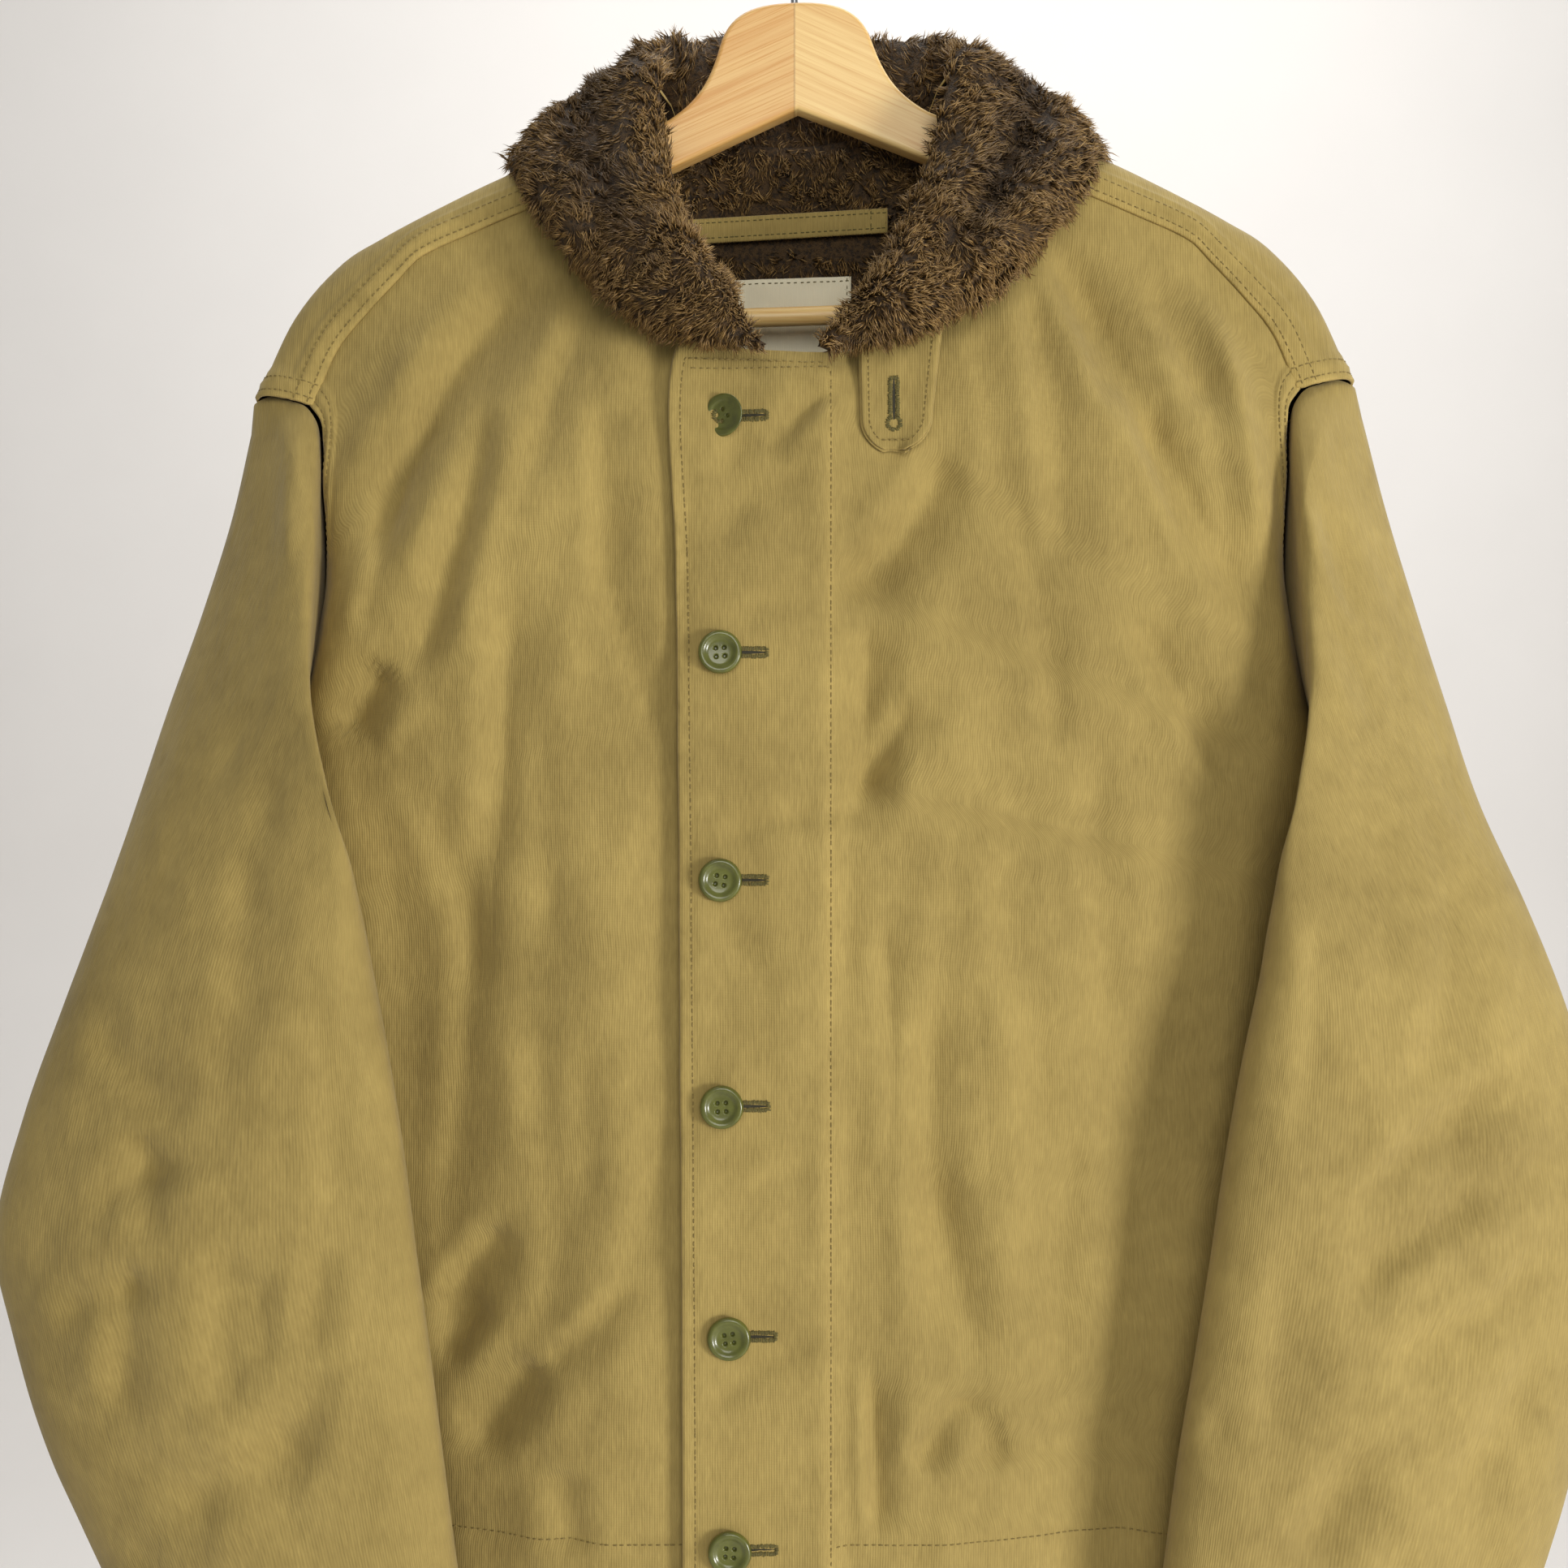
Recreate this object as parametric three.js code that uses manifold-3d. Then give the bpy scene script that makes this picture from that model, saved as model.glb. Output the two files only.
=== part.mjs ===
import * as THREE from 'three';
import { mergeVertices } from 'three/addons/utils/BufferGeometryUtils.js';
import Module from 'manifold-3d';

// A pile-collared cotton deck jacket that hangs, buttoned up, on a wooden hanger.
// Millimetres, +Z up. The front faces -Y and +X is the viewer's right.
// The origin is where a rail bears in the top of the hanger's hook.
// "out" is a distance sideways from the jacket's own middle line.

const MIDDLE_X = 5;
const RIGHT_RAISE = 8;
const RAISE_TOP = -255;
const RAISE_END = -420;
const CLOTH = 2.2;
const SEAM_GAP = 0.3;
const SHOULDER_SET_UP = 1;
const SHOULDER_SET_OUT = 1.4;
const HEM_Z = -868;

const SHOULDER_DEPTH = 18;
const FRONT_DEPTH = 50;
const FRONT_FALL = 150;
const BACK_DEPTH = 38;
const BACK_FALL = 170;
const BACK_FALL_Z = -160;
const NECK_BACK_DEPTH = 26;
const ARM_BACK_DEPTH = 20;

const FLAP_EDGE_OUT = -59;
const FLAP_TOP_Z = -247;
const FLAP_LIFT = 6;
const FLAP_FLUSH_X = 26;
const FLAP_RAISED_X = 10;
const UNDERLAP_OUT = 3;

const BUTTON_RADIUS = 10;
const BUTTON_THICK = 4;
const BUTTON_FOOT_RADIUS = 7;
const BUTTON_HOLE_RADIUS = 1.1;
const BUTTON_HOLE_OUT = 2.1;
const SLIT_LENGTH = 21;
const SLIT_WIDTH = 2;
const SLIT_EYE_RADIUS = 2;

const TAB_LEVEL = -262;
const TAB_CLEAR = 0.6;
const TAB_STAND = 3;

const PILE = 7;
const HANGER_THICK = 12;
const HANGER_TILT = 1.9;
const HANGER_TOP_Z = -62;
const BAR_RADIUS = 4.7;
const BAR_Z = -213.5;
const BAR_HALF = 198;
const WIRE_RADIUS = 1.7;
const WIRE_CLEAR = 0.7;
const HOOK_RADIUS = 18;

const wasm = await Module();
wasm.setup();

// A table has named columns and one row for each section, fold or piece.
function table(names, rows) {
  const keys = names.split(' ');
  return rows.map((row) => Object.fromEntries(keys.map((key, i) => [key, row[i]])));
}

// Reads a table smoothly along one of its columns, with cubic pieces between the rows.
function reader(rows, along) {
  const slope = (i, key) => {
    const before = rows[Math.max(i - 1, 0)];
    const after = rows[Math.min(i + 1, rows.length - 1)];
    return (after[key] - before[key]) / (after[along] - before[along]);
  };
  const rising = rows[1][along] > rows[0][along];
  return (where) => {
    let i = 0;
    while (i < rows.length - 2 && (rising ? where > rows[i + 1][along] : where < rows[i + 1][along])) {
      i += 1;
    }
    const step = rows[i + 1][along] - rows[i][along];
    const t = THREE.MathUtils.clamp((where - rows[i][along]) / step, 0, 1);
    const result = {};
    for (const key of Object.keys(rows[0])) {
      const from = rows[i][key];
      const to = rows[i + 1][key];
      const bend = from * (2 * t ** 3 - 3 * t ** 2 + 1) + to * (3 * t ** 2 - 2 * t ** 3);
      const lean = slope(i, key) * (t ** 3 - 2 * t ** 2 + t) + slope(i + 1, key) * (t ** 3 - t ** 2);
      result[key] = bend + lean * step;
    }
    return result;
  };
}

// Adds an even running length to rows, measured between their inner and outer ends.
function measured(rows) {
  let run = 0;
  return rows.map((row, i) => {
    if (i > 0) {
      const last = rows[i - 1];
      const inner = Math.hypot(row.innerOut - last.innerOut, row.innerZ - last.innerZ);
      const outerEnd = (end) => new THREE.Vector3(end.outerOut, end.outerY, end.outerZ);
      run += (inner + outerEnd(row).distanceTo(outerEnd(last))) / 2;
    }
    return { ...row, run };
  });
}

const smooth = (t) => THREE.MathUtils.smoothstep(t, 0, 1);

// Height added on the jacket's left, the viewer's right, whose shoulder hangs higher.
function raise(side, z) {
  return side > 0 ? RIGHT_RAISE * (1 - smooth((RAISE_TOP - z) / (RAISE_TOP - RAISE_END))) : 0;
}

// The shoulder seam, which runs in front of the ridge, with the ridge and back level beside it.
const SHOULDER = table('out seamZ ridgeOut ridgeZ backOut backZ', [
  [75, -142, 76, -112, 76, -146],
  [103, -153, 103, -126, 103, -157],
  [131, -164, 131, -140, 131, -168],
  [157, -175, 159, -153, 157, -180],
  [185, -188, 190, -169, 185, -195],
  [195, -198, 205, -177, 197, -207],
  [211, -215, 226, -190, 211, -222],
  [226, -234, 249, -217, 226, -242],
  [237, -260, 267, -255, 238, -270],
]);

// The back neckline from the middle to the ridge: how far its columns start up the shoulder's arc.
const BACK_NECK = table('out z arcStart', [
  [0, -170, 0.8],
  [20, -169, 0.8],
  [40, -164, 0.76],
  [58, -150, 0.56],
  [69, -122, -0.35],
]);
const NECK_RIDGE_Z = -102;
const NECK_LAST_OUT = 69;

// Rows of the front: inner end on the neckline and front edge, outer end on the armhole and side.
const FRONT_ROWS = table('innerOut innerZ outerOut outerY outerZ roll', [
  [75, -142, 237, -18, -260, 6],
  [73, -163, 231, -20, -268, 6],
  [66, -186, 229, -20, -280, 6],
  [54, -210, 229, -18, -296, 5],
  [36, -235, 228, -13, -320, 4.4],
  [UNDERLAP_OUT, -250, 229, -9, -352, 3.8],
  [UNDERLAP_OUT, -300, 242, -6, -404, 3],
  [UNDERLAP_OUT, -375, 264, -1, -455, 2.5],
  [UNDERLAP_OUT, -470, 263, -0.8, -520, 2.3],
  [UNDERLAP_OUT, -600, 262, -0.4, -620, 2.3],
  [UNDERLAP_OUT, -735, 262, -0.4, -745, 2.3],
  [UNDERLAP_OUT, HEM_Z, 262, -0.4, HEM_Z, 2.3],
]);

// The left front's inner ends run along the top of its button flap and down the flap's edge.
const FLAP_INNER = table('innerOut innerZ', [
  [75, -142],
  [73, -165],
  [64, -195],
  [46, -228],
  [20, -249],
  [-22, -249],
  [FLAP_EDGE_OUT, FLAP_TOP_Z],
  [FLAP_EDGE_OUT, -345],
  [FLAP_EDGE_OUT + 1, -460],
  [FLAP_EDGE_OUT + 2, -600],
  [FLAP_EDGE_OUT + 3, -735],
  [FLAP_EDGE_OUT + 3, HEM_Z],
]);

// Rows of the back below the shoulder blades: middle height, then the armhole and side.
const BACK_ROWS = table('innerOut innerZ outerOut outerY outerZ roll', [
  [0, -157, 238, 20, -270, 6],
  [0, -190, 233, 22, -288, 6],
  [0, -230, 230, 21, -315, 5],
  [0, -275, 231, 17, -352, 4],
  [0, -325, 243, 10, -404, 3.2],
  [0, -400, 264, 1.2, -455, 2.6],
  [0, -485, 263, 1, -520, 2.4],
  [0, -605, 262, 0.3, -620, 2.4],
  [0, -740, 262, 0.3, -745, 2.4],
  [0, HEM_Z, 262, 0.3, HEM_Z, 2.4],
]);

// The armhole seam once round: top, down the front to the underarm, and up the back.
const ARMHOLE = table('out y z', [
  [267, 0, -256],
  [257, -8, -253],
  [246, -14, -256],
  [237, -18, -260],
  [231, -20, -268],
  [229, -20, -280],
  [229, -18, -296],
  [228, -13, -320],
  [229, -9, -352],
  [242, -5, -404],
  [264, 0, -455],
  [243, 10, -404],
  [231, 17, -352],
  [230, 21, -315],
  [233, 22, -288],
  [238, 20, -270],
  [250, 16, -262],
  [261, 9, -258],
]);
const ARMHOLE_FRONT_STEPS = 10;
const SLEEVE_SET_OFF = [2.2, 0, -1.5];
const NECK_COLUMNS = 5;
const SHOULDER_COLUMNS = 8;

// Rings of a sleeve below its seam. rightOut and leftOut are the two sleeves' outer edges, rightIn and
// leftIn their inner edges; front and back are how far the ring swells, swing how far its front leans
// to the middle, and seam how much of the armhole's own shape it keeps.
const SLEEVE_RINGS = table('rightOut leftOut outZ outY rightIn leftIn inZ inY front back swing seam', [
  [272, 275, -280, -1, 272, 273, -463, -12, 46, 24, 44, 0.35],
  [280, 284, -318, -3, 258, 262, -462, -34, 44, 16, 42, 0.1],
  [293, 297, -360, -5, 232, 238, -466, -49, 42, 12, 36, 0],
  [308, 311, -405, -8, 214, 222, -478, -55, 38, 10, 26, 0],
  [322, 325, -450, -11, 204, 213, -500, -57, 35, 11, 14, 0],
  [338, 346, -500, -14, 197, 207, -532, -58, 33, 12, 5, 0],
  [355, 364, -550, -17, 190, 199, -570, -58, 31, 12, 0, 0],
  [372, 376, -600, -20, 183, 191, -612, -60, 30, 12, 0, 0],
  [384, 381, -655, -24, 177, 184, -658, -61, 30, 13, 0, 0],
  [374, 374, -700, -28, 171, 177, -702, -61, 30, 13, 0, 0],
  [357, 363, -750, -32, 165, 169, -752, -60, 29, 14, 0, 0],
  [333, 348, -800, -35, 159, 163, -802, -58, 28, 14, 0, 0],
  [300, 322, HEM_Z, -38, 150, 154, HEM_Z, -56, 25, 14, 0, 0],
]);

// Large folds in the fronts, from one end to the other in X and Z: bow is how far the middle strays
// sideways, width the half width, and depth how far the cloth lies back, or forward if negative.
const FRONT_FOLDS = table('x1 z1 x2 z2 bow width depth', [
  [-126, -190, -208, -328, -5, 13, 6],
  [-144, -262, -182, -395, 6, 13, 5],
  [-132, -345, -146, -490, 4, 13, 4],
  [-192, -384, -212, -420, 0, 14, 8],
  [-135, -640, -172, -702, 0, 13, 6],
  [-116, -705, -152, -762, 0, 14, 6],
  [-168, -560, -150, -860, 12, 34, 9],
  [124, -172, 220, -372, -6, 13, 6],
  [198, -205, 217, -332, 3, 11, -5],
  [110, -195, 126, -345, 3, 12, 4],
  [70, -286, 20, -352, 8, 14, 6],
  [34, -365, 31, -455, 0, 12, 4],
  [66, -530, 68, -704, -4, 14, 5],
  [192, -505, 150, -850, -10, 36, 9],
]);

// Similar folds hang in the back, from the shoulder blades and the hollow of the waist.
const BACK_FOLDS = table('x1 z1 x2 z2 bow width depth', [
  [-150, -220, -205, -400, -6, 16, 5],
  [-110, -270, -125, -480, 6, 16, 4],
  [-40, -350, -52, -600, -5, 18, 4],
  [48, -340, 60, -600, 6, 18, 4],
  [110, -240, 138, -450, -5, 16, 5],
  [162, -220, 214, -400, 6, 16, 5],
  [-150, -560, -140, -850, 8, 24, 6],
  [150, -540, 146, -850, -8, 24, 6],
  [10, -620, -6, -850, 4, 20, 4],
]);

// Large folds in the sleeves' fronts: below each shoulder and across the elbows.
const SLEEVE_FOLDS = table('x1 z1 x2 z2 bow width depth', [
  [-238, -275, -232, -312, 0, 9, 6],
  [-312, -600, -300, -690, 4, 14, 4],
  [-272, -655, -266, -735, 0, 14, 4],
  [-236, -656, -240, -700, 0, 12, 3],
  [-286, -775, -230, -740, 0, 14, 3],
  [336, -580, 256, -642, -6, 14, 4],
  [330, -632, 258, -674, -6, 13, 4],
  [268, -745, 236, -790, 0, 13, 3],
]);

// How far the folds of a table push the cloth back at a point: a soft round trough that fades at its ends.
function foldDepth(folds, x, z) {
  let depth = 0;
  for (const fold of folds) {
    const length = Math.hypot(fold.x2 - fold.x1, fold.z2 - fold.z1);
    const dirX = (fold.x2 - fold.x1) / length;
    const dirZ = (fold.z2 - fold.z1) / length;
    const run = ((x - fold.x1) * dirX + (z - fold.z1) * dirZ) / length;
    const reach = THREE.MathUtils.clamp(run, 0, 1);
    const across = (x - fold.x1) * -dirZ + (z - fold.z1) * dirX - fold.bow * 4 * reach * (1 - reach);
    const past = (run - reach) * length;
    const fade = smooth(Math.min(reach, 1 - reach) * 4 + 0.25);
    depth += fold.depth * fade * Math.exp(-((across / fold.width) ** 2) - (past / fold.width) ** 2);
  }
  return depth;
}

const seamReader = reader(SHOULDER, 'out');

// Depth of the front cloth at a place: it falls forward from the shoulder seam to the chest.
function frontDepth(side, x, z) {
  const out = Math.max(side * (x - MIDDLE_X), 75);
  const drop = seamReader(out).seamZ + raise(side, z) - z;
  const fall = smooth(drop / FRONT_FALL);
  return -(SHOULDER_DEPTH + (FRONT_DEPTH - SHOULDER_DEPTH) * fall);
}

// Depth of the back cloth at a height.
function backDepth(z, start) {
  return start + (BACK_DEPTH - start) * smooth((BACK_FALL_Z - z) / BACK_FALL);
}

// How full a panel still is near its side: 1 at the middle line, 0 at its outer edge.
function roundSide(out, edge, power) {
  const share = THREE.MathUtils.clamp(out / edge, 0, 1);
  return (1 - share ** power) ** (1 / power);
}

// The flap lies in front of the right front, so the left front steps forward near its edge.
function flapLift(x) {
  return FLAP_LIFT * smooth((FLAP_FLUSH_X - x) / (FLAP_FLUSH_X - FLAP_RAISED_X));
}

// One front's outer points. Row 0 is the shoulder seam, and its shape fades out down the panel.
function frontGrid(side, rows, columns, count, lift) {
  const run = measured(rows);
  const total = run[run.length - 1].run;
  const rowAt = reader(run, 'run');
  const top = SHOULDER[0];
  const end = SHOULDER[SHOULDER.length - 1];
  const grid = [];
  for (let j = 0; j <= count; j += 1) {
    const row = rowAt((total * j) / count);
    const keep = 1 - smooth(row.run / 190);
    const line = [];
    for (let i = 0; i <= columns; i += 1) {
      const seam = seamReader(top.out + (end.out - top.out) * stepOut(i / columns));
      const share = (seam.out - top.out) / (end.out - top.out);
      const straightZ = top.seamZ + (end.seamZ - top.seamZ) * share;
      const out = row.innerOut + (row.outerOut - row.innerOut) * share;
      const flat = row.innerZ + (row.outerZ - row.innerZ) * share + (seam.seamZ - straightZ) * keep;
      const z = flat + raise(side, flat);
      const x = MIDDLE_X + side * out;
      const full = roundSide(Math.max(out, 0), row.outerOut, row.roll);
      const deep = frontDepth(side, x, z) + foldDepth(FRONT_FOLDS, x, z) * smooth(row.run / 60);
      const y = row.outerY + (deep - row.outerY) * full - lift(x);
      line.push(new THREE.Vector3(x, y, z));
    }
    grid.push(line);
  }
  return insetGrid(grid);
}

// Spreads a panel's columns: closer together towards the armhole, where the cloth turns.
function stepOut(t) {
  return t * (1.35 - 0.35 * t);
}

// The back's outer points for one half, from the shoulder seam over the ridge and down.
function backHalf(side, columns, arcRows, count) {
  const run = measured(BACK_ROWS);
  const total = run[run.length - 1].run;
  const rowAt = reader(run, 'run');
  const neckAt = reader(BACK_NECK, 'out');
  const neckColumns = columns - SHOULDER_COLUMNS;
  const neckOut = SHOULDER[0].out;
  const end = SHOULDER[SHOULDER.length - 1];
  const grid = [];
  for (let j = 0; j <= arcRows + count; j += 1) {
    const row = rowAt((total * Math.max(j - arcRows, 0)) / count);
    const arc = Math.min(j / arcRows, 1);
    const keep = 1 - smooth(row.run / 170);
    const line = [];
    for (let i = 0; i <= columns; i += 1) {
      const inNeck = i < neckColumns;
      const outward = (i - neckColumns) / (columns - neckColumns);
      const place = inNeck ? 0 : stepOut(outward);
      const seam = seamReader(neckOut + (end.out - neckOut) * place);
      const neck = neckAt((i * NECK_LAST_OUT) / (neckColumns - 1));
      const start = inNeck ? neck.arcStart : -1;
      const backOut = inNeck ? neck.out : seam.backOut;
      const backZ = inNeck ? Math.min(neck.z, SHOULDER[0].seamZ) : seam.backZ;
      const swing = ((start + (1 - start) * arc) * Math.PI) / 2;
      const seamY = -SHOULDER_DEPTH;
      const startDepth = THREE.MathUtils.lerp(NECK_BACK_DEPTH, ARM_BACK_DEPTH, place);
      const ridge = inNeck ? { out: neck.out, z: NECK_RIDGE_Z } : { out: seam.ridgeOut, z: seam.ridgeZ };
      const seamOut = inNeck ? neck.out : seam.out;
      const seamZ = inNeck ? SHOULDER[0].seamZ : seam.seamZ;
      const turned = 1 - Math.cos(swing);
      const sweep = Math.sin(swing);
      const arch = (from, crest, to) =>
        crest + ((to - from) / 2) * sweep + ((from + to) / 2 - crest) * turned;
      const arcOut = arch(seamOut, ridge.out, backOut);
      const arcY = arch(seamY, 0, startDepth);
      const arcZ = arch(seamZ, ridge.z, backZ);
      const lower = row.run > 0;
      const share = backOut / end.backOut;
      const straightZ = BACK_ROWS[0].innerZ + (end.backZ - BACK_ROWS[0].innerZ) * share;
      const out = lower ? row.outerOut * share : arcOut;
      const downZ = row.innerZ + (row.outerZ - row.innerZ) * share + (backZ - straightZ) * keep;
      const flat = lower ? downZ : arcZ;
      const z = flat + raise(side, flat) * smooth(out / 60);
      const x = MIDDLE_X + side * out;
      const full = roundSide(out, row.outerOut, row.roll);
      const deep = backDepth(z, startDepth) - foldDepth(BACK_FOLDS, x, z) * smooth(row.run / 60);
      const y = lower ? row.outerY + (deep - row.outerY) * full : arcY;
      line.push(new THREE.Vector3(x, y, z));
    }
    grid.push(line);
  }
  return grid;
}

// The whole back: the viewer's left half mirrored onto the right one along the middle.
function backGrid() {
  const columns = NECK_COLUMNS + SHOULDER_COLUMNS;
  const right = backHalf(1, columns, 5, 18);
  const left = backHalf(-1, columns, 5, 18);
  const grid = right.map((line, j) => [...left[j].slice(1).reverse(), ...line]);
  grid[0].forEach((point, i) => {
    const turn = (i - columns) / columns;
    point.add(new THREE.Vector3(SHOULDER_SET_OUT * turn ** 3, 0, SHOULDER_SET_UP));
  });
  return insetGrid(grid);
}

// Draws a grid's four edges in by half a seam gap.
function insetGrid(grid) {
  const rows = grid.length;
  const columns = grid[0].length;
  const pull = (edge, inner) => edge.lerp(inner, Math.min(SEAM_GAP / edge.distanceTo(inner), 0.3));
  for (let j = 0; j < rows; j += 1) {
    pull(grid[j][0], grid[j][1]);
    pull(grid[j][columns - 1], grid[j][columns - 2]);
  }
  for (let i = 0; i < columns; i += 1) {
    pull(grid[0][i], grid[1][i]);
    pull(grid[rows - 1][i], grid[rows - 2][i]);
  }
  return grid;
}

// Unit normals of a grid, all turned to the side that the hint vector mostly points to.
function gridNormals(grid, hint, round) {
  const rows = grid.length;
  const columns = grid[0].length;
  let agree = 0;
  const normals = grid.map((line, j) =>
    line.map((point, i) => {
      const west = round ? line[(i - 1 + columns) % columns] : line[Math.max(i - 1, 0)];
      const east = round ? line[(i + 1) % columns] : line[Math.min(i + 1, columns - 1)];
      const up = grid[Math.max(j - 1, 0)][i];
      const down = grid[Math.min(j + 1, rows - 1)][i];
      const normal = new THREE.Vector3().crossVectors(
        new THREE.Vector3().subVectors(east, west),
        new THREE.Vector3().subVectors(down, up),
      );
      normal.normalize();
      agree += normal.dot(hint(point, j));
      return normal;
    }),
  );
  const sign = agree > 0 ? 1 : -1;
  normals.forEach((line) => line.forEach((normal) => normal.multiplyScalar(sign)));
  return { normals, sign };
}

// A closed wall: the grid is its outer face and the inner face lies a thickness behind it.
// Along a seam, set gives the direction that both walls share, so that their edges meet face to face.
function wallGeometry(grid, thick, hint, { round = false, set = () => null } = {}) {
  const { normals, sign } = gridNormals(grid, hint, round);
  normals.forEach((line, j) => line.forEach((normal, i) => normal.copy(set(j, i) ?? normal)));
  const rows = grid.length;
  const columns = grid[0].length;
  const points = [];
  grid.forEach((line) => line.forEach((point) => points.push(point)));
  grid.forEach((line, j) =>
    line.forEach((point, i) => points.push(point.clone().addScaledVector(normals[j][i], -thick))),
  );
  const shift = rows * columns;
  const faces = [];
  const quad = (a, b, c, d) => {
    const order = sign > 0 ? [a, b, c, a, c, d] : [a, c, b, a, d, c];
    faces.push(...order);
  };
  const span = round ? columns : columns - 1;
  for (let j = 0; j < rows - 1; j += 1) {
    for (let i = 0; i < span; i += 1) {
      const a = j * columns + i;
      const b = j * columns + ((i + 1) % columns);
      quad(a, b, b + columns, a + columns);
      quad(shift + b, shift + a, shift + a + columns, shift + b + columns);
    }
    if (!round) {
      const west = j * columns;
      const east = west + columns - 1;
      quad(west, west + columns, shift + west + columns, shift + west);
      quad(east + columns, east, shift + east, shift + east + columns);
    }
  }
  for (let i = 0; i < span; i += 1) {
    const next = (i + 1) % columns;
    const low = (rows - 1) * columns;
    quad(next, i, shift + i, shift + next);
    quad(low + i, low + next, shift + low + next, shift + low + i);
  }
  return meshGeometry(points, faces);
}

function meshGeometry(points, faces) {
  const geometry = new THREE.BufferGeometry();
  const places = points.flatMap((p) => [p.x, p.y, p.z]);
  geometry.setAttribute('position', new THREE.Float32BufferAttribute(places, 3));
  geometry.setIndex(faces);
  return geometry;
}

// A closed solid lofted through rings of equal count, with a fan over each end.
function loftGeometry(rings) {
  const count = rings[0].length;
  const points = rings.flat();
  const faces = [];
  for (let j = 0; j < rings.length - 1; j += 1) {
    for (let i = 0; i < count; i += 1) {
      const a = j * count + i;
      const b = j * count + ((i + 1) % count);
      faces.push(a, b, b + count, a, b + count, a + count);
    }
  }
  const cap = (ring, flip) => {
    const middle = new THREE.Vector3();
    ring.forEach((point) => middle.addScaledVector(point, 1 / count));
    const hub = points.push(middle) - 1;
    const base = flip ? (rings.length - 1) * count : 0;
    for (let i = 0; i < count; i += 1) {
      const next = (i + 1) % count;
      faces.push(...(flip ? [hub, base + i, base + next] : [hub, base + next, base + i]));
    }
  };
  cap(rings[0], false);
  cap(rings[rings.length - 1], true);
  return outward(meshGeometry(points, faces));
}

// Turns a closed mesh's faces round if its volume comes out negative.
function outward(geometry) {
  const p = geometry.attributes.position;
  const index = geometry.index.array;
  const corner = [new THREE.Vector3(), new THREE.Vector3(), new THREE.Vector3()];
  let volume = 0;
  for (let i = 0; i < index.length; i += 3) {
    corner.forEach((v, k) => v.fromBufferAttribute(p, index[i + k]));
    volume += corner[0].dot(corner[1].clone().cross(corner[2]));
  }
  if (volume < 0) {
    for (let i = 0; i < index.length; i += 3) {
      [index[i], index[i + 1]] = [index[i + 1], index[i]];
    }
  }
  return geometry;
}

// Turns a closed geometry into a solid that can be cut, and back.
function solid(geometry) {
  const bare = geometry.clone();
  bare.deleteAttribute('normal');
  bare.deleteAttribute('uv');
  const merged = mergeVertices(bare, 1e-4);
  return new wasm.Manifold(
    new wasm.Mesh({
      numProp: 3,
      vertProperties: new Float32Array(merged.attributes.position.array),
      triVerts: new Uint32Array(merged.index.array),
    }),
  );
}

function unsolid(manifold) {
  const mesh = manifold.getMesh();
  const geometry = new THREE.BufferGeometry();
  geometry.setAttribute('position', new THREE.BufferAttribute(new Float32Array(mesh.vertProperties), 3));
  geometry.setIndex(new THREE.BufferAttribute(new Uint32Array(mesh.triVerts), 1));
  return geometry;
}

const COTTON = { color: 0xa38c52, roughness: 0.85, metalness: 0 };
const PILE_CLOTH = { color: 0x4f3f28, roughness: 0.95, metalness: 0 };
const LABEL_CLOTH = { color: 0xd8d2bd, roughness: 0.8, metalness: 0 };
const BUTTON_RESIN = { color: 0x5c5d38, roughness: 0.3, metalness: 0 };
const BEECH = { color: 0xe0b778, roughness: 0.45, metalness: 0 };
const STEEL = { color: 0xb9bcc0, roughness: 0.25, metalness: 1 };

const jacket = new THREE.Group();

function add(name, geometry, finish, parent = jacket) {
  geometry.computeVertexNormals();
  const mesh = new THREE.Mesh(geometry, new THREE.MeshStandardMaterial(finish));
  mesh.name = name;
  parent.add(mesh);
  return mesh;
}

const forward = () => new THREE.Vector3(0, -1, 0);
const backward = () => new THREE.Vector3(0, 1, 0);

// At its side a front's wall faces straight out, and along the shoulder seam straight forward.
function frontSeams(side, columns) {
  return (j, i) => {
    if (i === columns) {
      return new THREE.Vector3(side, 0, 0);
    }
    return j === 0 ? forward() : null;
  };
}

// The back's walls face the same ways along the same seams.
function backSeams(columns) {
  const neck = columns / 2 - SHOULDER_COLUMNS;
  return (j, i) => {
    if (i === 0 || i === columns) {
      return new THREE.Vector3(i === 0 ? -1 : 1, 0, 0);
    }
    return j === 0 && Math.abs(i - columns / 2) >= neck ? forward() : null;
  };
}

// Where a panel's outer face lies, looking from the front; null beside the panel.
function faceOf(mesh, x, z) {
  const ray = new THREE.Raycaster(new THREE.Vector3(x, -300, z), new THREE.Vector3(0, 1, 0));
  const hits = ray.intersectObject(mesh);
  return hits.length > 0 ? hits[0].point.y : null;
}

// The foremost point of a panel under a disc, so that the disc can rest on it.
function foremost(mesh, x, z, radius) {
  const steps = 12;
  let nearest = Infinity;
  for (let i = 0; i < steps; i += 1) {
    const a = (2 * Math.PI * i) / steps;
    const y = faceOf(mesh, x + radius * Math.cos(a), z + radius * Math.sin(a));
    nearest = Math.min(nearest, y ?? Infinity);
  }
  return nearest;
}

const BUTTONS = table('x z', [
  [-34.3, -272.6],
  [-34.3, -381.7],
  [-34.3, -486],
  [-33.6, -589.6],
  [-30.3, -695.4],
  [-29.9, -793.1],
]);

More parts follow.
